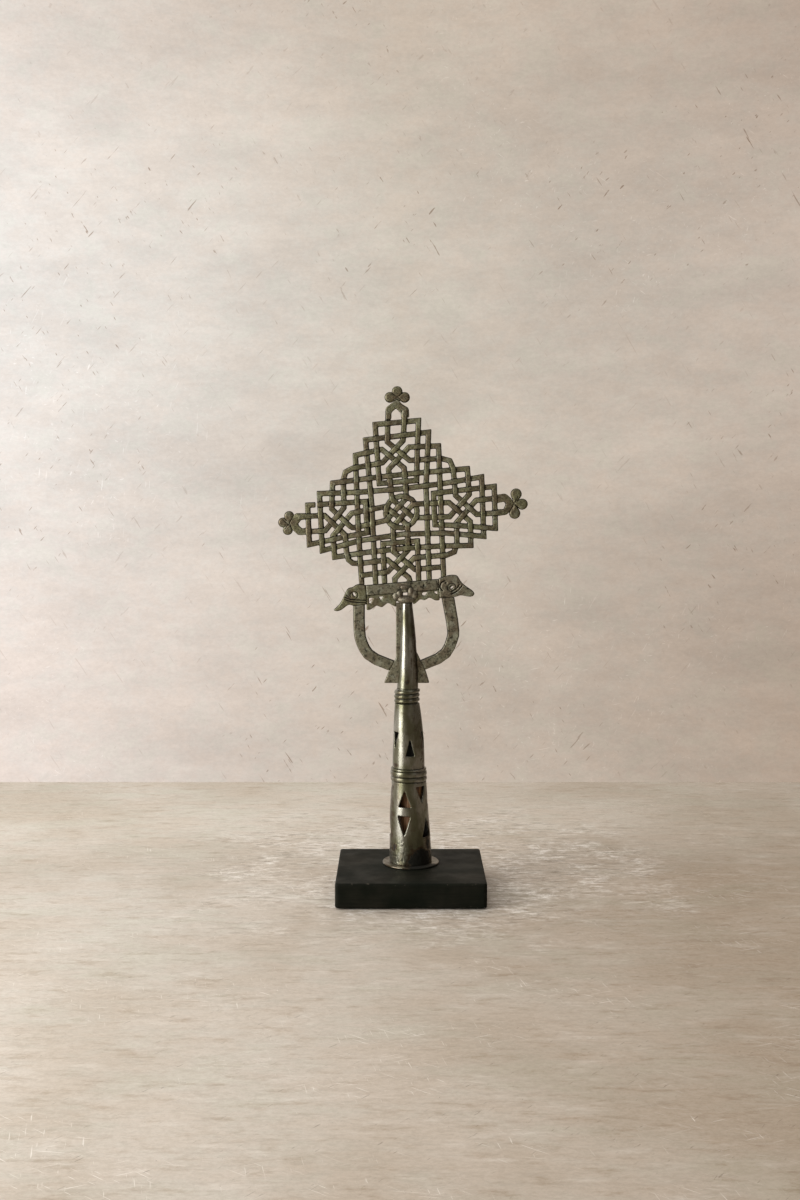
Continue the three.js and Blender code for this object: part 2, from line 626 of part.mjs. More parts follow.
function standScrew() {
  const headTop = feltThickness + counterboreDepth;
  const shank = screwDiameter / 2;
  const tip = plinthTop + screwInDowel;
  return turned([[0, headTop - screwHeadHeight], [screwHeadDiameter / 2, headTop - screwHeadHeight],
    [screwHeadDiameter / 2, headTop], [shank, headTop], [shank, tip - screwTipLength], [0, tip]], smallSides);
}

function staffDowel() {
  const r = dowelDiameter / 2;
  const shoulder = dowelTop - dowelChamfer;
  const body = turned([
    [0, plinthTop], [r, plinthTop], [r, shoulder], [r - dowelChamfer, dowelTop], [0, dowelTop]]);
  const pilot = rod(screwDiameter + 2 * screwClearance, plinthTop - rim, plinthTop + screwInDowel + rim);
  return toGeometry(cut(toSolid(body), [pilot]));
}

// Shaft

function footFlange() {
  const outer = flangeDiameter / 2;
  const bore = lowerStageFoot / 2 - sheetThickness;
  return leaning(turned([[bore, plinthTop], [outer, plinthTop], [outer, lowerStageBase],
    [bore, lowerStageBase], [bore, plinthTop]]));
}

// The outer side of a piece of the shaft, which swells a little between its foot and its top
const swelling = (base, height, foot, waist, top) => [
  [foot / 2, base], [waist / 2, base + height * waistRise], [top / 2, base + height]];

function stage(base, height, foot, waist, top) {
  const outer = swelling(base, height, foot, waist, top);
  const inner = outer.map(([radius, z]) => [radius - sheetThickness, z]).reverse();
  return turned([...outer, ...inner, outer[0]]);
}

// Triangular openings in rows round a stage, pointing up and down in turn
function piercings(base, rows, width, reach) {
  return rows.flatMap(({ middle, height, stagger, firstUp, turns }) => turns.map((turn, column) => {
    const up = (column % 2 === 0) === firstUp ? 1 : -1;
    const outline = new THREE.Shape([new THREE.Vector2(-width / 2, -up * height / 2),
      new THREE.Vector2(width / 2, -up * height / 2), new THREE.Vector2(0, up * height / 2)]);
    return new THREE.ExtrudeGeometry(outline, { depth: reach, bevelEnabled: false }).rotateX(Math.PI / 2)
      .rotateZ(THREE.MathUtils.degToRad(turn)).translate(0, 0, base + middle - up * stagger);
  }));
}

function lowerStage() {
  const body = stage(lowerStageBase, lowerStageHeight, lowerStageFoot, lowerStageWaist, lowerStageTop);
  const holes = piercings(lowerStageBase, lowerRows, lowerPiercingWidth, lowerStageFoot);
  return leaning(toGeometry(cut(toSolid(body), holes)));
}

function middleStage() {
  const body = stage(middleStageBase, middleStageHeight, middleStageFoot, middleStageWaist, middleStageTop);
  const holes = piercings(middleStageBase, middleRows, middlePiercingWidth, middleStageFoot);
  return leaning(toGeometry(cut(toSolid(body), holes)));
}

function middleCollar() {
  const outer = middleCollarDiameter / 2;
  const bore = Math.min(lowerStageTop, middleStageFoot) / 2 - sheetThickness;
  const bead = middleCollarHeight / collarTurns;
  const slope = bead * (1 - beadFlat) / 2;
  const beads = Array.from({ length: collarTurns }, (_, i) => {
    const z = middleCollarBase + i * bead;
    return [[outer - beadDepth, z], [outer, z + slope], [outer, z + bead - slope]];
  }).flat();
  const top = middleCollarBase + middleCollarHeight;
  return leaning(turned([
    ...beads, [outer - beadDepth, top], [bore, top], [bore, middleCollarBase], beads[0]]));
}

// Three turns of heavy wire soldered round a plain sleeve, a little aslant
function upperCollar() {
  const wire = (upperCollarHeight - upperCollarSlant * upperCollarDiameter) / collarTurns / 2;
  const core = upperCollarDiameter / 2 - wire;
  const bore = middleStageTop / 2 - sheetThickness;
  const top = upperCollarBase + upperCollarHeight;
  const sleeve = turned([[bore, upperCollarBase], [core, upperCollarBase], [core, top], [bore, top],
    [bore, upperCollarBase]], smallSides);
  const slant = new THREE.Matrix4().makeShear(0, 0, upperCollarSlant, 0, 0, 0);
  const middle = upperCollarBase + upperCollarHeight / 2;
  const turns = Array.from({ length: collarTurns }, (_, i) => new THREE
    .TorusGeometry(core, wire, wireSides, smallSides).applyMatrix4(slant)
    .translate(0, 0, middle + (i - (collarTurns - 1) / 2) * 2 * wire));
  return leaning(toGeometry(joined([sleeve, ...turns])));
}

// The hollow cone, slotted to take the flat stem of the head
function socketCone() {
  const outer = swelling(coneBase, coneHeight, coneFoot, coneWaist, coneTop);
  const [foot, waist] = outer;
  const ceiling = coneBase + coneHollow;
  const share = (ceiling - waist[1]) / (shaftTop - waist[1]);
  const inner = [[THREE.MathUtils.lerp(waist[0], coneTop / 2, share) - sheetThickness, ceiling],
    [waist[0] - sheetThickness, waist[1]], [foot[0] - sheetThickness, coneBase]];
  const body = turned([...outer, [0, shaftTop], [0, ceiling], ...inner, foot], smallSides);
  const slotWidth = stemThickness + 2 * seatGap;
  const slotFoot = coneBase + coneFloor;
  const shoulder = flareBottom + flareShoulderRight + seatGap;
  const block = (left, right, from, to) => new THREE.BoxGeometry(right - left, slotWidth, to - from)
    .translate((left + right) / 2, 0, (from + to) / 2);
  const leaned = toSolid(leaning(body));
  return toGeometry(cut(leaned, [block(flareLeft, stemRight + seatGap, slotFoot, shaftTop + rim),
    block(0, flareRight, slotFoot, shoulder)]));
}

// The flat stem, whose flared foot stands out of the cone on both sides
function stemPlate() {
  const z = flareBottom;
  const outline = new THREE.Shape();
  outline.moveTo(flareLeft, z).lineTo(flareRight, z).lineTo(flareSeatRight, z + flareSeatRise);
  outline.lineTo(stemRight, z + flareShoulderRight).lineTo(stemRight, shaftTop).lineTo(stemLeft, shaftTop);
  outline.lineTo(stemLeft, z + flareShoulderLeft).lineTo(flareSeatLeft, z + flareSeatRise);
  return plate(outline, stemThickness);
}

// Head

const headBlock = (left, right, bottom, top, thickness) => plate(
  headOutline([[left, bottom], [right, bottom], [right, top], [left, top]]), thickness);

// A closed outline on the head, of smooth stretches that meet at corners
function smoothOutline(stretches) {
  const line = stretches.flatMap((stretch) => {
    const curve = new THREE.SplineCurve(stretch.map(([u, v]) => onHead(u, v)));
    return curve.getPoints(stretch.length > 2 ? curveSteps * (stretch.length - 1) : 1).slice(0, -1);
  });
  return new THREE.Shape(line);
}

// A cutting solid that is larger all round than a plate by the width of a gap
const around = (outline, thickness) => new THREE.ExtrudeGeometry(outline, { depth: thickness,
  bevelThickness: seatGap, bevelSize: seatGap, bevelSegments: 1, curveSegments: arcSteps })
  .translate(0, 0, -thickness / 2).rotateX(Math.PI / 2);

function strandBands(width) {
  const lines = strands.map((strand) => ({ line: route(strand), closed: strand.closed }));
  const passes = weave(lines);
  return lines.map((line, i) => band(
    stations(line, passes[i]), line.closed, width * cell, strandThickness * cell, strandDraft * cell));
}

function lattice() {
  const under = headBlock(barLeft, barRight, barTop - cutReach, barTop + fit, cell);
  const heads = Object.values(birds).map(({ outline }) => around(smoothOutline(outline), cell));
  const loops = Object.values(finials).map(({ loop }) => plate(headOutline(loop), strandThickness * cell));
  return toGeometry(cut(joined([...strandBands(strandWidth), ...loops]), [under, ...heads]));
}

// A trefoil of three petals, notched to sit on the pointed loop behind it
function finial(name) {
  const { hub, facing, lobe, out, side, loop } = finials[name];
  const root = onHead(...hub);
  const petal = (turn, distance) => {
    const heading = THREE.MathUtils.degToRad(facing + turn);
    const offset = new THREE.Vector2(Math.cos(heading), Math.sin(heading)).multiplyScalar(distance * cell);
    const middle = root.clone().add(offset);
    const flank = Math.PI / 2 + Math.asin(lobe / distance);
    const outline = new THREE.Shape();
    outline.absarc(middle.x, middle.y, lobe * cell, heading - flank, heading + flank).lineTo(root.x, root.y);
    return plate(outline, finialThickness * cell, finialEdge * cell);
  };
  const disc = oval(root, finialHub * cell, finialHub * cell, 0);
  const middle = plate(disc, finialThickness * cell, finialEdge * cell);
  const body = joined([middle, petal(0, out), petal(petalTurn, side), petal(-petalTurn, side)]);
  return toGeometry(cut(body, [around(headOutline(loop), cell)]));
}

function crossbar() {
  return plate(headOutline([[barLeft + fit, barBottom], [barRight - fit, barBottom], [barRight - fit, barTop],
    [barLeft + fit, barTop]]), barThickness * cell, castEdge * cell);
}

// A bird's head in profile, with a pierced eye and curved lines cut across its neck
function birdHead(side) {
  const { outline, eye, eyeSize, eyeTurn, grooves } = birds[side];
  const hole = plate(oval(onHead(...eye), eyeSize[0] * cell, eyeSize[1] * cell, eyeTurn), cell);
  const body = toSolid(plate(smoothOutline(outline), birdThickness * cell, castEdge * cell));
  const front = (birdThickness / 2 - birdGrooveDepth / 2) * cell;
  const lines = grooves.map((points) => {
    const curve = new THREE.SplineCurve(points.map(([u, v]) => onHead(u, v)));
    const line = curve.getPoints(grooveSteps);
    const list = stations({ line, closed: false }, []).map((station) => ({ ...station, height: front }));
    return band(list, false, birdGrooveWidth * cell, 2 * birdGrooveDepth * cell, 0);
  });
  return toGeometry(cut(body, [hole, ...lines]));
}

// A flat bar that drops from a bird's neck and curves in to the slanted side of the flare
function loopArm(side) {
  const { width, footWidth, root, bends, foot, seat, shoulder, edge } = arms[side];
  const start = onHead(root, armRoot);
  const end = atHeight(foot[0], flareBottom + foot[1]);
  const middle = bends.map(([u, drop]) => atHeight(u, THREE.MathUtils.lerp(start.y, end.y, drop)));
  const line = new THREE.SplineCurve([start, ...middle, end]).getPoints(armSteps);
  const list = stations({ line, closed: false }, []).map(({ place, side: across }, i) => ({ place, height: 0,
    side: across.multiplyScalar(THREE.MathUtils.lerp(width, footWidth, i / (line.length - 1))) }));
  const bar = band(list, false, cell, armThickness * cell, armDraft * cell);
  const neck = headBlock(barLeft - cutReach, barRight + cutReach, birdFoot - fit, barTop, cell);
  const slant = new THREE.Shape([[seat, flareBottom + flareSeatRise], [edge, flareBottom + shoulder],
    [edge, shaftTop], [-seat, shaftTop], [-seat, flareBottom], [seat, flareBottom],
  ].map(([x, z]) => new THREE.Vector2(x, z)));
  return toGeometry(cut(toSolid(bar), [neck, around(slant, cell)]));
}

// A scalloped apron under the crossbar, pierced with small openings
function fringe(side) {
  const { outline, holes } = fringes[side];
  const shape = smoothOutline(outline);
  shape.holes = holes.map((points) => new THREE.Path(points.map(([u, v]) => onHead(u, v))));
  return plate(shape, fringeThickness * cell);
}

// The rough lump of brazing metal between the cone and the crossbar
function brazeJoint() {
  const seat = shaftTop + seatGap;
  const top = barBottom - fit;
  const middle = (top + (seat - headHeight) / cell) / 2;
  const side = (i) => [
    onHead(brazeTop[i], top), onHead(brazeMiddle[i], middle), atHeight(brazeFoot[i], seat)];
  const shape = new THREE.Shape([...side(0), ...side(1).reverse()]);
  const eye = oval(onHead(brazeHoleAside, barBottom - brazeHoleDrop), brazeHole * cell, brazeHole * cell, 0);
  const body = toSolid(plate(shape, brazeThickness * cell, brazeEdge * cell));
  return toGeometry(cut(body, [plate(eye, cell)]));
}

const bronzeCross = new THREE.Group();

function add(name, geometry, material) {
  const mesh = new THREE.Mesh(geometry, material);
  mesh.name = name;
  bronzeCross.add(mesh);
}

add('plinth_block', plinthBlock(), ebonised());
add('base_felt', baseFelt(), baize());
add('stand_screw', standScrew(), steel());
add('staff_dowel', staffDowel(), paleWood());
add('foot_flange', footFlange(), whiteMetal());
add('lower_stage', lowerStage(), whiteMetal());
add('middle_collar', middleCollar(), whiteMetal());
add('middle_stage', middleStage(), whiteMetal());
add('upper_collar', upperCollar(), whiteMetal());
add('socket_cone', socketCone(), whiteMetal());
add('stem_plate', stemPlate(), bronze());
add('braze_joint', brazeJoint(), bronze());
add('crossbar', crossbar(), bronze());
add('bird_head_left', birdHead('left'), bronze());
add('bird_head_right', birdHead('right'), bronze());
add('loop_arm_left', loopArm('left'), bronze());
add('loop_arm_right', loopArm('right'), bronze());
add('fringe_left', fringe('left'), bronze());
add('fringe_right', fringe('right'), bronze());
add('lattice', lattice(), bronze());
add('finial_top', finial('top'), bronze());
add('finial_left', finial('left'), bronze());
add('finial_right', finial('right'), bronze());

export default bronzeCross;
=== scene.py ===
"""A processional cross of cast bronze on a pierced white-metal socket, over a dowel in a dark block."""

import logging
import math
from collections.abc import Callable, Sequence
from dataclasses import dataclass
from enum import Enum
from itertools import product

import bpy
import numpy as np
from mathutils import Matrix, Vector, noise


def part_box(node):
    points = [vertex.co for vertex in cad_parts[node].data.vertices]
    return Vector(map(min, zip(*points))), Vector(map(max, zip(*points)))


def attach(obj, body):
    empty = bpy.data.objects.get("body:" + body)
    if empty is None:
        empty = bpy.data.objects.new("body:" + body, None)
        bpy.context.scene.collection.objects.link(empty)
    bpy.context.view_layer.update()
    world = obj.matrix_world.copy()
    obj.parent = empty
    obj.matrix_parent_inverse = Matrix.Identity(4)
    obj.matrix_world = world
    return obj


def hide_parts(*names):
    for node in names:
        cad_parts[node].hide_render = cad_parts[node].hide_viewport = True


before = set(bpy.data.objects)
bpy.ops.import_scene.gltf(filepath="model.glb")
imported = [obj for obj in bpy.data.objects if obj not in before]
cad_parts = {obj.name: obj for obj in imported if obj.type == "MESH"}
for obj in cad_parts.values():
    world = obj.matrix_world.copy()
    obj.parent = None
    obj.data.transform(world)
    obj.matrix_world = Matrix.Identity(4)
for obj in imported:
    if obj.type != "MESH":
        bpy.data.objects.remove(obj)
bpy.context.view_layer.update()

log = logging.getLogger("cross")

MM = 0.001  # the scene is in metres; shapes are worked in millimetres

RELAXED = (0.55, -0.57)  # how far a point goes to the middle of its neighbours, and then back out
EASED = 0.5  # the same, without the way back
SPREAD = 0.6  # how much of a point's measure comes from its neighbours when it is evened out
FULLY_BENT = 97  # the per cent of points that bend less than an edge or a corner
SHIFTED = (1, 0.7, 1.3)  # the way in which noise is moved
STROKE_EDGE = 0.05  # how softly a painted stroke ends
BLOCK_FACES = ((0, 1, 3, 2), (4, 6, 7, 5), (0, 4, 5, 1), (2, 3, 7, 6), (0, 2, 6, 4), (1, 5, 7, 3))

Triple = tuple[float, float, float]
Point2 = tuple[float, float]
Span = tuple[float, ...]
Stops = tuple[tuple[float, Triple], ...]
Output = bpy.types.NodeSocket


class Body(Enum):
    """The bodies that pieces ride on."""

    STAND = "stand"
    DOWEL = "dowel"
    CROSS = "cross"


class Slot(Enum):
    """The record's material slots."""

    BRONZE = "bronze"
    WHITE_METAL = "white_metal"
    EBONISED = "ebonised_wood"
    PALE_WOOD = "pale_wood"
    FELT = "felt"
    STEEL = "steel"


class Blend(Enum):
    """Ways to lay one colour over another: in its place, or as a tint that is multiplied with it."""

    OVER = "MIX"
    TINT = "MULTIPLY"


class Facing(Enum):
    """Which way a marked face lies, which says how its strokes are turned."""

    UP = "Z_AXIS"
    FORWARD = "Y_AXIS"


# Meshes


class Surface:
    """A dense mesh whose points can be relaxed, pushed along their normals and given painted values."""

    def __init__(self, mesh: bpy.types.Mesh) -> None:
        """Reads the points and edges of a mesh.

        Args:
            mesh: the mesh to work on, in metres.
        """
        self.mesh = mesh
        count = len(mesh.vertices)
        flat = np.zeros(count * 3)
        mesh.vertices.foreach_get("co", flat)
        self.points = flat.reshape(-1, 3) / MM
        self.hollow = np.zeros(count)
        ends = np.zeros(len(mesh.edges) * 2, np.int32)
        mesh.edges.foreach_get("vertices", ends)
        self.edges = ends.reshape(-1, 2)
        self.degree = np.maximum(np.bincount(self.edges.ravel(), minlength=count), 1)

    def around(self, values: np.ndarray) -> np.ndarray:
        """Averages a value over each point's neighbours.

        Args:
            values: one number or one row of numbers for each point.

        Returns:
            The averages, in the shape of the values.
        """
        first, second = self.edges.T
        count = len(values)
        sums = [np.bincount(first, column[second], count) + np.bincount(second, column[first], count)
                for column in values.reshape(count, -1).T]
        return (np.array(sums).T / self.degree[:, None]).reshape(values.shape)

    def relax(self, passes: int) -> None:
        """Evens out small steps without shrinking the form.

        Args:
            passes: how many pairs of easing and swelling steps to take.
        """
        for _ in range(passes):
            for share in RELAXED:
                self.points = self.points + share * (self.around(self.points) - self.points)

    def ease(self, passes: int) -> None:
        """Rounds edges and draws the form in a little.

        Args:
            passes: how many easing steps to take.
        """
        for _ in range(passes):
            self.points = self.points + EASED * (self.around(self.points) - self.points)

    def normals(self) -> np.ndarray:
        """Works out which way the surface faces.

        Returns:
            The unit normal of each point.
        """
        self.write()
        flat = np.zeros(len(self.points) * 3)
        self.mesh.vertices.foreach_get("normal", flat)
        return flat.reshape(-1, 3)

    def push(self, amounts: np.ndarray) -> None:
        """Moves each point along its normal by its amount in millimetres, outwards when positive."""
        self.points = self.points + self.normals() * amounts[:, None]

    def hollows(self, spread: int, reach: int = 1) -> np.ndarray:
        """Measures how hollow the surface is, as a number near -1 on edges and near 1 in corners.

        Args:
            spread: how many times the measure is evened out over its neighbours.
            reach: how many neighbours away the surface is compared with itself.

        Returns:
            One number for each point.
        """
        middle = self.points
        for _ in range(reach):
            middle = self.around(middle)
        bent = np.einsum("ij,ij->i", middle - self.points, self.normals())
        for _ in range(spread):
            bent = self.around(bent) * SPREAD + bent * (1 - SPREAD)
        return np.clip(bent / max(np.percentile(np.abs(bent), FULLY_BENT), 1e-6), -1, 1)

    def store(self, name: str, values: np.ndarray) -> None:
        """Keeps one number for each point on the mesh, under a name."""
        kept = self.mesh.attributes.new(name, "FLOAT", "POINT")
        kept.data.foreach_set("value", values.astype(np.float32))

    def write(self) -> None:
        """Writes the points back to the mesh."""
        self.mesh.vertices.foreach_set("co", (self.points * MM).ravel())
        self.mesh.update()


@dataclass(frozen=True)
class Waves:
    """Smooth unevenness: the size and height of its waves in millimetres, its seed and its finer layers."""

    size: float
    height: float
    seed: float
    octaves: int = 2

    def at(self, points: np.ndarray) -> np.ndarray:
        """Gives the height of the waves at each point.

        Args:
            points: places in millimetres.

        Returns:
            Numbers from about minus to plus the height.
        """
        total = np.zeros(len(points))
        for octave in range(self.octaves):
            finer = 2.0 ** octave
            places = (points * finer / self.size + self.seed * (octave + 1)).tolist()
            total += np.array([noise.noise(Vector(place)) for place in places]) / finer
        return total * self.height


def placed(name: str, data: bpy.types.ID) -> bpy.types.Object:
    """Puts an object into the scene.

    Args:
        name: its name.
        data: its mesh, curve, camera or lamp.

    Returns:
        The object.
    """
    item = bpy.data.objects.new(name, data)
    bpy.context.scene.collection.objects.link(item)
    return item


def evaluated(item: bpy.types.Object) -> bpy.types.Mesh:
    """Makes a mesh of an object as it looks with its modifiers, and removes the object.

    Args:
        item: the object.

    Returns:
        The new mesh.
    """
    graph = bpy.context.evaluated_depsgraph_get()
    mesh = bpy.data.meshes.new_from_object(item.evaluated_get(graph))
    bpy.data.objects.remove(item)
    return mesh


def remeshed(mesh: bpy.types.Mesh, grain: float) -> bpy.types.Mesh:
    """Covers a closed form with an even net of small faces.

    Args:
        mesh: the closed form.
        grain: the size of the faces, in millimetres.

    Returns:
        The new mesh.
    """
    item = placed("net", mesh)
    net = item.modifiers.new("net", "REMESH")
    net.mode = "VOXEL"
    net.voxel_size = grain * MM
    return evaluated(item)


def carved(mesh: bpy.types.Mesh, blocks: Sequence[tuple[Triple, Triple]]) -> bpy.types.Mesh:
    """Cuts upright blocks out of a closed form.

    Args:
        mesh: the closed form.
        blocks: the lowest and the highest corner of each block, in millimetres.

    Returns:
        The new mesh.
    """
    item = placed("form", mesh)
    corners = [np.array(list(product(*zip(low, high)))) for low, high in blocks]
    cutters = [placed("cutter", mesh_of(block, BLOCK_FACES)) for block in corners]
    for cutter in cutters:
        cut = item.modifiers.new("cut", "BOOLEAN")
        cut.operation = "DIFFERENCE"
        cut.object = cutter
    made = evaluated(item)
    for cutter in cutters:
        bpy.data.objects.remove(cutter)
    return made


def mesh_of(points: np.ndarray, faces: Sequence[Sequence[int]]) -> bpy.types.Mesh:
    """Makes a mesh.

    Args:
        points: places in millimetres.
        faces: the points of each face, in order.

    Returns:
        The mesh, in metres.
    """
    mesh = bpy.data.meshes.new("form")
    mesh.from_pydata((points * MM).tolist(), [], [list(face) for face in faces])
    mesh.validate()
    return mesh


def joined(parts: Sequence[Surface]) -> bpy.types.Mesh:
    """Makes one mesh of several surfaces.

    Args:
        parts: the surfaces.

    Returns:
        The mesh, with the surfaces still whole.
    """
    faces, start = [], 0
    for part in parts:
        faces += [tuple(v + start for v in face.vertices) for face in part.mesh.polygons]
        start += len(part.points)
    return mesh_of(np.vstack([part.points for part in parts]), faces)


def even_line(line: Sequence[Point2], step: float) -> np.ndarray:
    """Divides a line of points into near-equal steps and keeps its corners.

    Args:
        line: the points.
        step: the longest step.

    Returns:
        The divided line.
    """
    made = [line[0]]
    for start, end in zip(line, line[1:]):
        count = max(1, math.ceil(math.dist(start, end) / step))
        made.extend((start[0] + (end[0] - start[0]) * i / count, start[1] + (end[1] - start[1]) * i / count)
                    for i in range(1, count + 1))
    return np.array(made)


def arc(middle: Point2, radius: float, start: float, end: float, steps: int = 10) -> list[Point2]:
    """Gives the points of an arc.

    Args:
        middle: its centre.
        radius: its radius.
        start: the angle at which it starts, in degrees from the first axis.
        end: the angle at which it ends.
        steps: how many steps it has.

    Returns:
        The points.
    """
    turns = [math.radians(start + (end - start) * i / steps) for i in range(steps + 1)]
    return [(middle[0] + radius * math.cos(turn), middle[1] + radius * math.sin(turn)) for turn in turns]


def revolved(profile: Sequence[Point2], step: float) -> Surface:
    """Turns a closed profile about the upright axis.

    Args:
        profile: pairs of radius and height, the last joined to the first, or both ends on the axis.
        step: the size of the faces, in millimetres.

    Returns:
        The turned surface.
    """
    solid = profile[0][0] == 0 and profile[-1][0] == 0
    line = even_line(profile if solid else [*profile, profile[0]], step)
    line = line if solid else line[:-1]
    count = max(24, int(2 * math.pi * line[:, 0].max() / step))
    ring = line[1:-1] if solid else line
    turns = np.arange(count) * 2 * math.pi / count
    grid = np.stack([np.outer(np.sin(turns), ring[:, 0]), -np.outer(np.cos(turns), ring[:, 0]),
                     np.tile(ring[:, 1], (count, 1))], axis=-1)
    points = grid.reshape(-1, 3)
    rows = len(ring)
    spans = range(rows - 1) if solid else range(rows)
    columns = [(i * rows, (i + 1) % count * rows) for i in range(count)]
    faces = [(here + k, there + k, there + (k + 1) % rows, here + (k + 1) % rows)
             for here, there in columns for k in spans]
    if solid:
        low, high = len(points), len(points) + 1
        points = np.vstack([points, [0, 0, line[0][1]], [0, 0, line[-1][1]]])
        faces += [(low, there, here) for here, there in columns]
        faces += [(high, here + rows - 1, there + rows - 1) for here, there in columns]
    return Surface(mesh_of(points, faces))


# Finishes


@dataclass(frozen=True)
class Patches:
    """Noise in the object's own space, and how its values are used.

    The size is that of its patches in millimetres, and the detail is how many finer layers it has. The span
    holds the values at which the noise starts to count and counts in full, and then what these become if not 0
    and 1. The stretch is how much finer it is along each axis. The shift moves it along its pattern.
    """

    size: float
    detail: float = 4
    span: Span = (0.3, 0.7)
    stretch: Triple = (1, 1, 1)
    shift: float = 0
    roughness: float = 0.55


@dataclass(frozen=True)
class Coat:
    """A colour that lies over the ones below it, where its patches let it through."""

    colour: Triple
    patches: Patches
    how: Blend = Blend.TINT


@dataclass(frozen=True)
class Strokes:
    """Thin straight strokes that all run one way.

    The width and the length are in millimetres, and the turn in degrees from the first axis. The fewness runs
    from 0.6 for many strokes to 0.8 for few.
    """

    width: float
    length: float
    turn: float
    fewness: float
    shift: float


class Nodes:
    """A node tree, with short calls for adding and joining its nodes."""

    def __init__(self, tree: bpy.types.NodeTree, places: str, facing: Facing = Facing.UP) -> None:
        """Clears a node tree and starts it with the coordinates that its noise uses.

        Args:
            tree: the tree.
            places: the name of the coordinates.
            facing: which way the marked face lies.
        """
        self.tree = tree
        self.facing = facing
        self.tree.nodes.clear()
        self.place = self.add("ShaderNodeTexCoord").outputs[places]

    def add(self, kind: str, **settings: object) -> bpy.types.Node:
        """Adds a node.

        Args:
            kind: its type.
            settings: its properties.

        Returns:
            The node.
        """
        node = self.tree.nodes.new(kind)
        for name, value in settings.items():
            setattr(node, name, value)
        return node

    def feed(self, socket: Output, value: object) -> None:
        """Gives a socket a value, or the output of another node.

        Args:
            socket: the socket.
            value: a number, a colour or an output.
        """
        if isinstance(value, Output):
            self.tree.links.new(value, socket)
        elif isinstance(value, tuple):
            socket.default_value = (*value, 1) if len(socket.default_value) == 4 else value
        else:
            socket.default_value = value

    def fill(self, node: bpy.types.Node, **values: object) -> None:
        """Feeds several inputs of a node, whose names are given with _ for a space."""
        for name, value in values.items():
            self.feed(node.inputs[name.replace("_", " ")], value)

    def noise(self, patches: Patches) -> Output:
        """Adds noise.

        Args:
            patches: the noise.

        Returns:
            Its plain value.
        """
        spot = self.add("ShaderNodeMapping")
        shift = tuple(patches.shift * share for share in SHIFTED)
        self.fill(spot, Vector=self.place, Scale=patches.stretch, Location=shift)
        texture = self.add("ShaderNodeTexNoise")
        self.fill(texture, Vector=spot.outputs["Vector"], Scale=1 / (patches.size * MM),
                  Detail=patches.detail, Roughness=patches.roughness)
        return texture.outputs["Fac"]

    def share(self, patches: Patches) -> Output:
        """Returns how much the patches let through."""
        return self.range(self.noise(patches), *patches.span)

    def strokes(self, *kinds: Strokes) -> Output:
        """Scatters strokes.

        Args:
            kinds: the kinds of strokes.

        Returns:
            1 on the strokes and 0 beside them.
        """
        upright, made = self.place, []
        for kind in kinds:
            turned = self.add("ShaderNodeVectorRotate", rotation_type=self.facing.value)
            self.fill(turned, Vector=upright, Angle=math.radians(kind.turn))
            self.place = turned.outputs["Vector"]
            made.append(self.share(Patches(kind.width, 2, (kind.fewness, kind.fewness + STROKE_EDGE),
                                           (kind.width / kind.length, 1, 1), kind.shift)))
        self.place = upright
        return self.most(*made)

    def split(self) -> bpy.types.NodeOutputs:
        """Splits the coordinates.

        Returns:
            Their three parts.
        """
        node = self.add("ShaderNodeSeparateXYZ")
        self.fill(node, Vector=self.place)
        return node.outputs

    def ramp(self, value: Output, stops: Stops) -> Output:
        """Maps a value from -1 to 1 to a row of colours.

        Args:
            value: the value.
            stops: the value and the colour at each stop.

        Returns:
            The colour.
        """
        node = self.add("ShaderNodeValToRGB")
        self.fill(node, Fac=self.sum(self.product(value, 0.5), 0.5))
        while len(node.color_ramp.elements) < len(stops):
            node.color_ramp.elements.new(0.5)
        for element, (at, colour) in zip(node.color_ramp.elements, stops):
            element.position = at / 2 + 0.5
            element.color = (*colour, 1)
        return node.outputs["Color"]

    def range(self, value: Output, start: float, end: float, low: float = 0,
              high: float = 1) -> Output:
        """Maps a stretch of values to another, with soft ends.

        Args:
            value: the value.
            start: where the stretch starts.
            end: where it ends.
            low: what its start becomes.
            high: what its end becomes.

        Returns:
            The mapped value.
        """
        node = self.add("ShaderNodeMapRange", interpolation_type="SMOOTHSTEP")
        self.fill(node, Value=value, From_Min=start, From_Max=end, To_Min=low, To_Max=high)
        return node.outputs["Result"]

    def sum(self, *values: Output | float, how: str = "ADD") -> Output:
        """Joins values by a sum, or by the operation that is named.

        Args:
            values: the values.
            how: the operation.

        Returns:
            The result.
        """
        result = values[0]
        for value in values[1:]:
            node = self.add("ShaderNodeMath", operation=how)
            self.feed(node.inputs[0], result)
            self.feed(node.inputs[1], value)
            result = node.outputs[0]
        return result

    def product(self, *values: Output | float) -> Output:
        """Returns the product of values."""
        return self.sum(*values, how="MULTIPLY")

    def most(self, *values: Output | float) -> Output:
        """Returns the greatest of values."""
        return self.sum(*values, how="MAXIMUM")

    def layer(self, under: object, over: object, share: object, how: Blend = Blend.OVER) -> Output:
        """Lays one colour over another.

        Args:
            under: the lower colour.
            over: the upper colour.
            share: how much of the upper one shows.
            how: how it is laid on.

        Returns:
            The colour.
        """
        node = self.add("ShaderNodeMix", data_type="RGBA", blend_type=how.value)
        for socket, value in zip((node.inputs["Factor"], *node.inputs[6:8]), (share, under, over)):
            self.feed(socket, value)
        return node.outputs[2]

    def coated(self, colour: Output, coats: Sequence[Coat]) -> Output:
        """Lays coats over a colour.

        Args:
            colour: the colour.
            coats: the coats, the lowest first.

        Returns:
            The colour with its coats.
        """
        for coat in coats:
            colour = self.layer(colour, coat.colour, self.share(coat.patches), coat.how)
        return colour


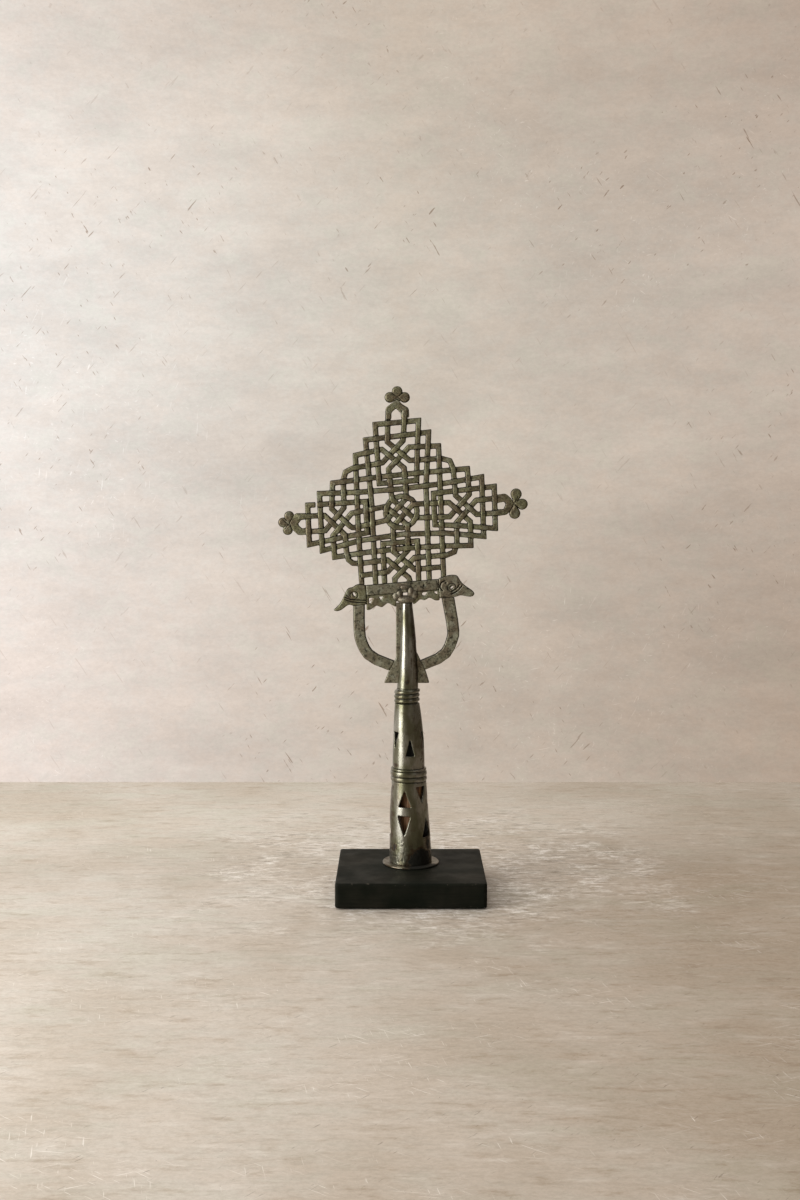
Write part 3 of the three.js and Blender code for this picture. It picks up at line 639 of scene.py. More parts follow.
class Graph(Nodes):
    """The nodes of one material."""

    def __init__(self, name: str) -> None:
        """Starts a material with a shader on its output.

        Args:
            name: the material's name.
        """
        self.material = bpy.data.materials.new(name)
        self.material.use_nodes = True
        super().__init__(self.material.node_tree, "Object")
        self.shader = self.add("ShaderNodeBsdfPrincipled")
        self.fill(self.add("ShaderNodeOutputMaterial"), Surface=self.shader.outputs["BSDF"])
        self.height: Output | None = None

    def painted(self, name: str) -> Output:
        """Returns the numbers that are kept on the mesh under a name."""
        return self.add("ShaderNodeAttribute", attribute_name=name).outputs["Fac"]

    def relief(self, value: Output, depth: float) -> None:
        """Adds fine relief to the surface.

        Args:
            value: its height, from 0 to 1.
            depth: its full height, in millimetres.
        """
        bump = self.add("ShaderNodeBump")
        self.fill(bump, Strength=1.0, Distance=depth * MM, Height=value)
        if self.height is not None:
            self.fill(bump, Normal=self.height)
        self.height = bump.outputs["Normal"]

    def finish(self, colour: object, roughness: object, metallic: object = 0.0) -> bpy.types.Material:
        """Gives the shader its colour, roughness, metal and relief.

        Args:
            colour: the base colour.
            roughness: the roughness.
            metallic: how much of it is bare metal.

        Returns:
            The material.
        """
        self.fill(self.shader, Base_Color=colour, Roughness=roughness, Metallic=metallic)
        if self.height is not None:
            self.fill(self.shader, Normal=self.height)
        return self.material


@dataclass(frozen=True)
class PatinatedBronze:
    """Old cast bronze, dark olive and brown, green in patches, darkened in corners by painted shade with
    grime, and rubbed on its edges.
    """

    name: str = "patinated_bronze"
    olive: Triple = (0.212, 0.206, 0.12)
    brown: Triple = (0.18, 0.148, 0.094)
    verdigris: Triple = (0.26, 0.275, 0.2)
    # near-black painted shade with grime, for corners, seams and side walls
    shade_and_grime: Triple = (0.014, 0.012, 0.008)
    rubbed: Triple = (0.42, 0.4, 0.3)
    blotch: Triple = (0.035, 0.034, 0.022)
    pit: Triple = (0.4, 0.38, 0.32)
    green_share: float = 0.5
    blotch_share: float = 0.45
    browned: Patches = Patches(11, 5, (0.42, 0.62))
    greened: Patches = Patches(6, 6, (0.5, 0.66), shift=3.1)
    pitted: Patches = Patches(1.3, 8, (0.55, 0.35, 0, 0.85), shift=7.7, roughness=0.7)
    blotched: Patches = Patches(3.4, 7, (0.52, 0.62), shift=5.2, roughness=0.68)
    skin: Patches = Patches(3.2, 3, shift=1.4)
    edges: Span = (-0.1, -0.75, 0, 0.7)
    edge_pits: Span = (0.35, 0.6)
    corners: Span = (0.05, 0.55)
    pit_depth: float = 0.12
    skin_depth: float = 0.16
    roughness: Span = (0.3, 0.7, 0.4, 0.6)
    shade_and_grime_roughness: float = 0.2
    metallic: Span = (0.72, 0.35)

    def material(self) -> bpy.types.Material:
        """Builds the material.

        Returns:
            The material.
        """
        graph = Graph(self.name)
        colour = graph.layer(self.olive, self.brown, graph.share(self.browned))
        green = graph.range(graph.noise(self.greened), *self.greened.span, 0, self.green_share)
        colour = graph.layer(colour, self.verdigris, green)
        pitted = graph.noise(self.pitted)
        colour = graph.layer(colour, self.pit, graph.range(pitted, *self.pitted.span), Blend.TINT)
        blotched = graph.range(graph.noise(self.blotched), *self.blotched.span, 0, self.blotch_share)
        colour = graph.layer(colour, self.blotch, blotched)
        hollow = graph.painted("hollow")
        edges = graph.product(graph.range(hollow, *self.edges), graph.range(pitted, *self.edge_pits))
        colour = graph.layer(colour, self.rubbed, edges)
        # painted shade with grime where the hollow measure marks corners, seams and side walls
        shade_and_grime = graph.range(hollow, *self.corners)
        colour = graph.layer(colour, self.shade_and_grime, shade_and_grime)
        graph.relief(pitted, self.pit_depth)
        graph.relief(graph.noise(self.skin), self.skin_depth)
        roughness = graph.sum(graph.range(pitted, *self.roughness),
                              graph.range(shade_and_grime, 0, 1, 0, self.shade_and_grime_roughness))
        return graph.finish(colour, roughness, graph.range(green, 0, 1, *self.metallic))


BRONZE = PatinatedBronze()
WEATHERED_BRONZE = PatinatedBronze("weathered_bronze", olive=(0.25, 0.24, 0.17), brown=(0.2, 0.17, 0.12),
                                   verdigris=(0.33, 0.345, 0.265), blotch_share=0.85)
BRAZE_METAL = PatinatedBronze("braze_metal", olive=(0.24, 0.22, 0.165), brown=(0.19, 0.16, 0.12),
                              rubbed=(0.36, 0.33, 0.27), green_share=0.3)


@dataclass(frozen=True)
class TarnishedWhiteMetal:
    """Nickel-grey sheet with a warm tarnish, fine rubbing lines along it, dark spots near its foot, and
    painted shade in its corners and on its inner side.
    """

    name: str = "tarnished_white_metal"
    bright: Triple = (0.4, 0.395, 0.36)
    tarnish: Triple = (0.122, 0.12, 0.07)
    brown: Triple = (0.085, 0.055, 0.036)
    # near-black soot, also laid as painted shade in corners and on the inner side
    soot_and_shade: Triple = (0.01, 0.01, 0.007)
    veil: Patches = Patches(13, 6, (0.34, 0.6, 0.3, 0.95), (1, 1, 0.45), 2.3)
    browned: Patches = Patches(7, 5, (0.55, 0.75, 0, 0.5), (1, 1, 0.3), 5.9)
    stain_edge: Patches = Patches(4.5, 7, (0.3, 0.7, -0.3, 0.3), shift=9.2, roughness=0.65)
    stain_and_reflection_brown: Span = (0.1, 0.5, 0, 0.8)
    stain_and_reflection_soot: Span = (0.45, 0.85)
    spots: Patches = Patches(1.6, 6, (0.63, 0.71, 0, 0.75), shift=4.4, roughness=0.65)
    corners: Span = (0.15, 0.8)
    lines: Patches = Patches(0.7, 3, (0.3, 0.7, 0.26, 0.36), (1, 1, 0.04), 1.1)
    beaten: Patches = Patches(2.2, 5, shift=8.3)
    line_depth: float = 0.02
    beaten_depth: float = 0.035
    veil_roughness: Span = (0.4, 0.7, 0, 0.07)
    soot_and_shade_roughness: float = 0.25
    soot_and_shade_metallic: float = 0.25
    round_rubbing: float = 0.8
    rubbing_turn: float = 0.25

    def material(self) -> bpy.types.Material:
        """Builds the material.

        Returns:
            The material.
        """
        graph = Graph(self.name)
        veil = graph.noise(self.veil)
        colour = graph.layer(self.bright, self.tarnish, graph.range(veil, *self.veil.span))
        # the stain attribute is tarnish, and on the cone's right side a painted reflection
        stain = graph.sum(graph.painted("stain"), graph.share(self.stain_edge))
        browned = graph.most(graph.share(self.browned), graph.range(stain, *self.stain_and_reflection_brown))
        colour = graph.layer(colour, self.brown, browned)
        # soot from stains and spots, and painted shade in corners and on the inner side
        soot_and_shade = graph.most(graph.range(stain, *self.stain_and_reflection_soot), graph.share(self.spots),
                          graph.range(graph.painted("hollow"), *self.corners), graph.painted("inside"))
        colour = graph.layer(colour, self.soot_and_shade, soot_and_shade)
        lines = graph.noise(self.lines)
        graph.relief(lines, self.line_depth)
        graph.relief(graph.noise(self.beaten), self.beaten_depth)
        roughness = graph.sum(graph.range(lines, *self.lines.span), graph.range(veil, *self.veil_roughness),
                              graph.range(soot_and_shade, 0, 1, 0, self.soot_and_shade_roughness))
        tangent = graph.add("ShaderNodeTangent", direction_type="RADIAL", axis="Z")
        graph.fill(graph.shader, Tangent=tangent.outputs["Tangent"], Anisotropic=self.round_rubbing,
                   Anisotropic_Rotation=self.rubbing_turn)
        return graph.finish(colour, roughness, graph.range(soot_and_shade, 0, 1, 1, self.soot_and_shade_metallic))


@dataclass(frozen=True)
class EbonisedWood:
    """Black-stained wood under a worn satin polish, with pale specks where it is chipped."""

    name: str = "ebonised_wood"
    stain: Triple = (0.0026, 0.0048, 0.002)
    bloom: Triple = (0.0145, 0.0138, 0.0092)
    pore: Triple = (0.6, 0.58, 0.55)
    chip: Triple = (0.08, 0.07, 0.055)
    bloomed: Patches = Patches(38, 5, (0.35, 0.7), shift=4.8)
    grain: Patches = Patches(1.3, 6, (0.6, 0.35, 0, 0.7), (0.05, 1, 1), 2.2)
    edges: Span = (-0.3, -0.9)
    edge_chips: Patches = Patches(2.4, 6, (0.6, 0.7))
    specks: Patches = Patches(1.5, 2, (0.8, 0.84, 0, 0.45), shift=6.1)
    waves: Patches = Patches(5.5, 3)
    grain_depth: float = 0.07
    wave_depth: float = 0.05
    polish: Patches = Patches(17, 5, (0.3, 0.7, 0.5, 0.68), shift=3.3)
    gloss: float = 0.11

    def material(self) -> bpy.types.Material:
        """Builds the material.

        Returns:
            The material.
        """
        graph = Graph(self.name)
        grain = graph.noise(self.grain)
        colour = graph.layer(self.stain, self.bloom, graph.share(self.bloomed))
        colour = graph.layer(colour, self.pore, graph.range(grain, *self.grain.span), Blend.TINT)
        edges = graph.range(graph.painted("hollow"), *self.edges)
        chips = graph.most(graph.product(edges, graph.share(self.edge_chips)), graph.share(self.specks))
        colour = graph.layer(colour, self.chip, chips)
        graph.relief(grain, self.grain_depth)
        graph.relief(graph.noise(self.waves), self.wave_depth)
        graph.fill(graph.shader, Specular_IOR_Level=self.gloss)
        return graph.finish(colour, graph.share(self.polish))


@dataclass(frozen=True)
class PaleWood:
    """Bare turned wood with an upright grain, rubbed dark by metal at its edges."""

    name: str = "pale_wood"
    early: Triple = (0.35, 0.19, 0.09)
    late: Triple = (0.17, 0.085, 0.04)
    rub: Triple = (0.05, 0.038, 0.028)
    grain: Patches = Patches(1.1, 6, (0.38, 0.62), (1, 1, 0.04), 1.9)
    rubbed: Patches = Patches(6, 5, (0.55, 0.72, 0, 0.7), (1, 1, 0.5))
    edges: Span = (-0.2, -0.9, 0, 0.6)
    grain_depth: float = 0.08
    roughness: Span = (0.3, 0.7, 0.55, 0.75)

    def material(self) -> bpy.types.Material:
        """Builds the material.

        Returns:
            The material.
        """
        graph = Graph(self.name)
        grain = graph.noise(self.grain)
        colour = graph.layer(self.early, self.late, graph.range(grain, *self.grain.span))
        rubbed = graph.most(graph.share(self.rubbed), graph.range(graph.painted("hollow"), *self.edges))
        graph.relief(grain, self.grain_depth)
        return graph.finish(graph.layer(colour, self.rub, rubbed), graph.range(grain, *self.roughness))


@dataclass(frozen=True)
class BaseFelt:
    """Short dark green felt, a little worn."""

    name: str = "base_felt"
    deep: Triple = (0.012, 0.03, 0.018)
    dusty: Triple = (0.05, 0.085, 0.058)
    fibre: Patches = Patches(0.5, 8, (0.35, 0.7), roughness=0.75)
    worn: Patches = Patches(15, 4, (0.5, 0.7, 0, 0.4), shift=2.5)
    pile: float = 0.25
    sheen: float = 0.4
    roughness: Span = (0.3, 0.7, 0.88, 0.98)

    def material(self) -> bpy.types.Material:
        """Builds the material.

        Returns:
            The material.
        """
        graph = Graph(self.name)
        fibre = graph.noise(self.fibre)
        colour = graph.layer(self.deep, self.dusty, graph.range(fibre, *self.fibre.span))
        colour = graph.layer(colour, self.dusty, graph.share(self.worn))
        graph.relief(fibre, self.pile)
        graph.fill(graph.shader, Sheen_Weight=self.sheen)
        return graph.finish(colour, graph.range(fibre, *self.roughness))


@dataclass(frozen=True)
class ZincSteel:
    """Zinc-plated steel with faint bloom."""

    name: str = "zinc_steel"
    bright: Triple = (0.5, 0.5, 0.47)
    bloom: Triple = (0.3, 0.3, 0.29)
    cloud: Patches = Patches(2.2, 6, (0.4, 0.7))
    plating: Patches = Patches(0.4, 4)
    plating_depth: float = 0.02
    roughness: Span = (0.3, 0.7, 0.28, 0.45)
    metallic: float = 0.95

    def material(self) -> bpy.types.Material:
        """Builds the material.

        Returns:
            The material.
        """
        graph = Graph(self.name)
        cloud = graph.noise(self.cloud)
        colour = graph.layer(self.bright, self.bloom, graph.range(cloud, *self.cloud.span))
        graph.relief(graph.noise(self.plating), self.plating_depth)
        return graph.finish(colour, graph.range(cloud, *self.roughness), self.metallic)


@dataclass(frozen=True)
class ScuffedFloor:
    """A pale painted floor with painted window light on the left and at the back, painted shade on the right,
    white scuffs round the object and worn spots.
    """

    name: str = "floor"
    # painted window light on the left and a painted pool of light at the back left; shade is painted shade on
    # the right
    painted_light: Triple = (0.7, 0.665, 0.605)
    shade: Triple = (0.485, 0.415, 0.335)
    shade_across: Span = (-0.35, 0.35)
    far: Triple = (0.82, 0.78, 0.7)
    far_back: Span = (0.03, 0.25, 0, 0.8)
    far_left: Span = (0.3, -0.3, 0.6, 1)
    coats: tuple[Coat, ...] = (
        Coat((1.01, 0.982, 0.965), Patches(48, 6, (0.42, 0.6), (0.5, 1, 1), 5.5, 0.7)),
        Coat((0.99, 1.01, 0.995), Patches(48, 6, (0.5, 0.35), (0.5, 1, 1), 5.5, 0.7)),
        Coat((0.88, 0.87, 0.85), Patches(2.2, 7, (0.6, 0.38), (0.6, 1, 1), 3.9, 0.8)),
        Coat((0.8, 0.75, 0.69), Patches(9, 8, (0.5, 0.7), (0.3, 1, 1), 2.9, 0.75)),
        Coat((0.94, 0.91, 0.86), Patches(14, 6, (0.52, 0.7, 0, 0.22), (0.25, 1, 1), 0, 0.7), Blend.OVER),
        Coat((0.9, 0.88, 0.85), Patches(160, 5, (0.4, 0.6))))
    scuff: Triple = (0.94, 0.91, 0.86)
    scuff_middle: Span = (0.02, 0.07)
    scuff_reach: Span = (0.27, 0.07)
    scuff_edge: Patches = Patches(55, 4, (0.3, 0.7, -0.06, 0.06), shift=1.7)
    grit: Patches = Patches(4.5, 8, (0.45, 0.6), (0.35, 1, 1), 8.1, 0.8)
    uneven: Patches = Patches(28, 4, (0.4, 0.6, 0.25, 0.95), shift=3.7)
    scratches: tuple[Strokes, ...] = (
        Strokes(1.1, 26, 38, 0.66, 1.1), Strokes(1.1, 34, -24, 0.67, 2.2), Strokes(1.1, 22, 78, 0.67, 3.3),
        Strokes(1.1, 44, 8, 0.68, 4.4))
    scratched: Patches = Patches(85, 3, (0.48, 0.62, 0.05, 0.9), shift=6.6)
    scratch_share: float = 0.75
    worn: Triple = (0.28, 0.225, 0.17)
    worn_spots: Patches = Patches(5.5, 8, (0.5, 0.62, 0, 0.7), (0.3, 1, 1), 4.1, 0.75)
    worn_beyond: float = 0.2
    fleck: Triple = (0.17, 0.125, 0.09)
    fleck_spots: Patches = Patches(2.3, 3, (0.73, 0.77, 0, 0.8), shift=9.4)
    fleck_lines: Strokes = Strokes(1.5, 12, -50, 0.7, 7.1)
    fleck_line_share: float = 0.45
    roughness: float = 0.8

    def material(self) -> bpy.types.Material:
        """Builds the material.

        Returns:
            The material.
        """
        graph = Graph(self.name)
        x, y, _ = graph.split()
        # painted light and shade across the floor, then a painted pool of light at the back left
        colour = graph.layer(self.painted_light, self.shade, graph.range(x, *self.shade_across))
        far = graph.product(graph.range(y, *self.far_back), graph.range(x, *self.far_left))
        colour = graph.coated(graph.layer(colour, self.far, far), self.coats)
        squares = [graph.sum(graph.sum(part, -middle), 2, how="POWER")
                   for part, middle in zip((x, y), self.scuff_middle)]
        away = graph.sum(graph.sum(*squares), 0.5, how="POWER")
        near = graph.range(graph.sum(away, graph.share(self.scuff_edge)), *self.scuff_reach)
        scuffs = graph.product(near, graph.share(self.grit), graph.share(self.uneven))
        scratched = graph.most(graph.share(self.scratched), near)
        scratches = graph.product(graph.strokes(*self.scratches), scratched, self.scratch_share)
        worn = graph.product(graph.share(self.worn_spots), graph.sum(near, self.worn_beyond))
        colour = graph.layer(colour, self.worn, worn)
        colour = graph.layer(colour, self.scuff, graph.most(scuffs, scratches))
        fleck_lines = graph.product(graph.strokes(self.fleck_lines), self.fleck_line_share)
        colour = graph.layer(colour, self.fleck, graph.most(graph.share(self.fleck_spots), fleck_lines))
        return graph.finish(colour, self.roughness)


@dataclass(frozen=True)
class PaintedRoom:
    """Light from a pale painted wall behind the object, brighter on the left, and from a dim room."""

    name: str = "room"
    wall_high: Stops = ((-1, (1.15, 1.1, 1.05)), (-0.28, (0.875, 0.83, 0.785)), (0, (0.63, 0.565, 0.485)),
                        (0.28, (0.525, 0.445, 0.375)), (0.7, (0.2, 0.17, 0.14)), (1, (0.1, 0.085, 0.07)))
    wall_low: Stops = ((-1, (1.05, 0.98, 0.92)), (-0.28, (0.81, 0.72, 0.66)), (0, (0.595, 0.515, 0.435)),
                       (0.28, (0.42, 0.335, 0.265)), (0.7, (0.16, 0.13, 0.1)), (1, (0.08, 0.065, 0.05)))
    room: Stops = ((-1, (1.2, 1.17, 1.12)), (-0.6, (0.3, 0.29, 0.27)), (0, (0.16, 0.145, 0.125)),
                   (0.5, (0.07, 0.06, 0.05)), (1, (0.1, 0.085, 0.07)))
    low_to_high: Span = (-0.2, 0.12)
    room_to_wall: Span = (-0.2, 0.35)
    pale_mark: Triple = (1.3, 1.34, 1.38)
    pale_lines: tuple[Strokes, ...] = (
        Strokes(1.1, 16, 62, 0.7, 1.3), Strokes(1.1, 22, -35, 0.7, 2.6), Strokes(1.1, 40, 12, 0.7, 3.9),
        Strokes(1.1, 18, 84, 0.7, 4.6))
    pale_marked: Patches = Patches(170, 3, (0.5, 0.62, 0.05, 0.75), shift=8.8)
    coats: tuple[Coat, ...] = (
        Coat((1.012, 0.988, 0.972), Patches(30, 7, (0.44, 0.6), (1, 1, 1.5), 7.3, 0.75)),
        Coat((0.99, 1.012, 1.0), Patches(30, 7, (0.5, 0.36), (1, 1, 1.5), 7.3, 0.75)))
    top: Triple = (0.92, 0.88, 0.85)
    top_heights: Span = (0.12, 0.34)
    dark_mark: Triple = (0.45, 0.36, 0.3)
    dark_lines: tuple[Strokes, ...] = (Strokes(2.0, 30, -58, 0.69, 5.1), Strokes(2.1, 24, 48, 0.695, 6.4))
    dark_marked: Patches = Patches(150, 3, (0.48, 0.62, 0.2, 0.75), shift=4.2)
    cloud: Patches = Patches(230, 5, (0.3, 0.7, 0.93, 1.06), (1, 1, 2.2), 6.1, 0.62)
    streak: Patches = Patches(60, 8, (0.3, 0.7, 0.93, 1.06), (1, 1, 2.6), roughness=0.78)
    weave: Patches = Patches(3.2, 6, (0.3, 0.7, 0.955, 1.045), (1, 1, 1.5), 2.2, 0.8)

    def world(self) -> bpy.types.World:
        """Builds the world.

        Returns:
            The world.
        """
        world = bpy.data.worlds.new(self.name)
        world.use_nodes = True
        nodes = Nodes(world.node_tree, "Generated", Facing.FORWARD)
        x, y, z = nodes.split()
        room, low, high = [nodes.ramp(x, stops) for stops in (self.room, self.wall_low, self.wall_high)]
        wall = nodes.layer(low, high, nodes.range(z, *self.low_to_high))
        colour = nodes.layer(room, wall, nodes.range(y, *self.room_to_wall))
        pale = nodes.product(nodes.strokes(*self.pale_lines), nodes.share(self.pale_marked))
        colour = nodes.coated(nodes.layer(colour, self.pale_mark, pale, Blend.TINT), self.coats)
        colour = nodes.layer(colour, self.top, nodes.range(z, *self.top_heights), Blend.TINT)
        dark = nodes.product(nodes.strokes(*self.dark_lines), nodes.share(self.dark_marked))
        colour = nodes.layer(colour, self.dark_mark, dark, Blend.TINT)
        background = nodes.add("ShaderNodeBackground")
        strength = nodes.product(*map(nodes.share, (self.cloud, self.streak, self.weave)))
        nodes.fill(background, Color=colour, Strength=strength)
        nodes.fill(nodes.add("ShaderNodeOutputWorld"), Surface=background.outputs["Background"])
        return world


# Putting pieces in place


def settle(surface: Surface, name: str, body: Body, slot: Slot, finish: bpy.types.Material,
           *nodes: str) -> bpy.types.Object:
    """Makes a piece of a worked surface, which then stands for the nodes that are named.

    Args:
        surface: the surface.
        name: the piece's name.
        body: what it rides on.
        slot: the record's slot that its finish comes from; it is not used.
        finish: its material.
        nodes: the nodes that it stands for.

    Returns:
        The piece.
    """
    surface.write()
    surface.mesh.materials.clear()
    surface.mesh.materials.append(finish)
    surface.mesh.shade_smooth()
    piece = placed(name, surface.mesh)
    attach(piece, body.value)
    if nodes:
        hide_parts(*nodes)
    log.info("%s: %d points on %s", name, len(surface.points), body.value)
    return piece


@dataclass
class Stand:
    """The block, the felt under it, the screw and the dowel."""

    top: float = 21.0
    block_grain: float = 0.9
    block_waves: Waves = Waves(22, 0.06, 4.2, 1)
    felt_grain: float = 0.5
    felt_fur: Waves = Waves(1.6, 0.25, 3.3)
    felt_rim_slope: float = 0.5
    dowel_grain: float = 0.6
    dowel_radius: float = 10.0
    dowel_top: float = 92.0
    dowel_chamfer: float = 1.5
    dowel_pores: Waves = Waves(1.4, 0.12, 6.1)
    pore_stretch: Triple = (1, 1, 0.06)
    screw_grain: float = 0.25
    screw_radius: float = 2.25
    screw_tip: float = 5.0
    screw_point: float = 0.4
    screw_face: float = 0.05
    screw_head: float = 3.0
    screw_head_rounding: float = 0.8
    screw_head_slope: float = 0.2
    screw_slot_half: float = 0.65
    screw_slot_depth: float = 1.1
    thread_start: float = 7.0
    thread_pitch: float = 1.8
    thread_depth: float = 0.45

    def block(self) -> Surface:
        """Builds the block with its softened edges.

        Returns:
            The surface.
        """
        surface = Surface(remeshed(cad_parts["plinth_block"].data, self.block_grain))
        surface.relax(3)
        surface.push(self.block_waves.at(surface.points))
        surface.store("hollow", surface.hollows(2))
        return surface

    def pad(self) -> Surface:
        """Builds the felt with its slightly furred edge.

        Returns:
            The surface.
        """
        surface = Surface(remeshed(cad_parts["base_felt"].data, self.felt_grain))
        surface.relax(1)
        low, high = surface.points[:, 2].min(), surface.points[:, 2].max()
        rim = np.abs(surface.normals()[:, :2]).max(axis=1) > self.felt_rim_slope
        surface.push(np.where(rim, self.felt_fur.at(surface.points), 0))
        surface.points[:, 2] = np.clip(surface.points[:, 2], low, high)
        return surface

    def dowel(self) -> Surface:
        """Builds the turned dowel with the open pores of its grain.

        Returns:
            The surface.
        """
        r, chamfer, top = self.dowel_radius, self.dowel_chamfer, self.dowel_top
        profile = [(0, self.top), (r, self.top), (r, top - chamfer), (r - chamfer, top), (0, top)]
        surface = revolved(profile, self.dowel_grain)
        surface.push(np.minimum(self.dowel_pores.at(surface.points * self.pore_stretch), 0))
        surface.store("hollow", surface.hollows(2))
        return surface

    def screw(self) -> Surface:
        """Builds the screw with its slotted head and its thread.

        Returns:
            The surface.
        """
        low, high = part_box("stand_screw")
        foot, tip, head = low.z / MM, high.z / MM, high.x / MM
        rounding, shank = self.screw_head_rounding, self.screw_radius
        shoulder = foot + self.screw_head
        rim = arc((head - rounding, foot + rounding), rounding, -90, 0, 4)
        profile = [(0, foot), *rim, (head, shoulder), (shank, shoulder + self.screw_head_slope),
                   (shank, tip - self.screw_tip), (0, tip)]
        surface = revolved(profile, self.screw_grain)
        x, y, z = surface.points.T
        turn = np.arctan2(y, x) / (2 * math.pi)
        wave = 0.5 + 0.5 * np.cos(2 * math.pi * (z / self.thread_pitch - turn))
        threaded = (z > foot + self.thread_start) & (np.hypot(x, y) > self.screw_point)
        surface.push(np.where(threaded, -self.thread_depth * wave, 0))
        slot = (z < foot + self.screw_face) & (np.abs(surface.points[:, 1]) < self.screw_slot_half)
        surface.points[:, 2] += np.where(slot, self.screw_slot_depth, 0)
        return surface

    def build(self) -> None:
        """Builds and dresses the stand."""
        settle(self.block(), "block", Body.STAND, Slot.EBONISED, EbonisedWood().material(), "plinth_block")
        settle(self.pad(), "felt_pad", Body.STAND, Slot.FELT, BaseFelt().material(), "base_felt")
        settle(self.screw(), "screw", Body.STAND, Slot.STEEL, ZincSteel().material(), "stand_screw")
        settle(self.dowel(), "dowel", Body.DOWEL, Slot.PALE_WOOD, PaleWood().material(), "staff_dowel")


@dataclass(frozen=True)
class Row:
    """One row of triangular piercings round a stage, spaced as they were marked out by hand."""

    middle: float
    tall: float
    stagger: float
    first_up: bool
    turns: tuple[float, ...]

    def outlines(self, base: float, radius: float, width: float, joint: float) -> list[list[Point2]]:
        """Gives the piercings on the unrolled sheet.

        Args:
            base: the height of the stage's foot.
            radius: the radius at which the sheet is unrolled.
            width: the width of a piercing.
            joint: the turn at which the sheet is joined, in degrees from the front.

        Returns:
            The corners of each piercing.
        """
        made = []
        for i, turn in enumerate(self.turns):
            up = 1 if (i % 2 == 0) == self.first_up else -1
            across = math.radians((turn - joint) % 360 - 180) * radius
            z = base + self.middle - up * self.stagger
            foot, tip = z - up * self.tall / 2, z + up * self.tall / 2
            made.append([(across - width / 2, foot), (across + width / 2, foot), (across, tip)])
        return made


@dataclass(frozen=True)
class Shell:
    """A hollow round piece: its heights, its outer radii at foot, waist and top, and its piercings."""

    base: float
    top: float
    radii: Triple
    rows: tuple[Row, ...] = ()
    piercing_width: float = 0.0
    joint_turn: float = 0.0
    waist: float = 0.4
    pitted_below: float = 0.0

    def radius_at(self, z: np.ndarray) -> np.ndarray:
        """Gives the outer radius at each height.

        Args:
            z: the heights, in millimetres.

        Returns:
            The radii.
        """
        share = (z - self.base) / (self.top - self.base)
        low, mid, high = self.radii
        w = self.waist
        return (low * (share - w) * (share - 1) / w + mid * share * (share - 1) / (w * (w - 1))
                + high * share * (share - w) / (1 - w))


@dataclass(frozen=True)
class Stain:
    """A soft dark patch on the socket, mostly tarnish and once a painted reflection: its turn from the front,
    its height, and half its size in both.
    """

    turn: float
    height: float
    half_turn: float
    half_height: float
    strength: float = 1.0

    def share_at(self, points: np.ndarray) -> np.ndarray:
        """Gives how much of the stain lies at each point.

        Args:
            points: places in millimetres.

        Returns:
            Numbers from 0 to the stain's strength.
        """
        x, y, z = points.T
        turn = (np.degrees(np.arctan2(x, -y)) - self.turn + 180) % 360 - 180
        away = (turn / self.half_turn) ** 2 + ((z - self.height) / self.half_height) ** 2
        return self.strength * np.exp(-away ** 2)


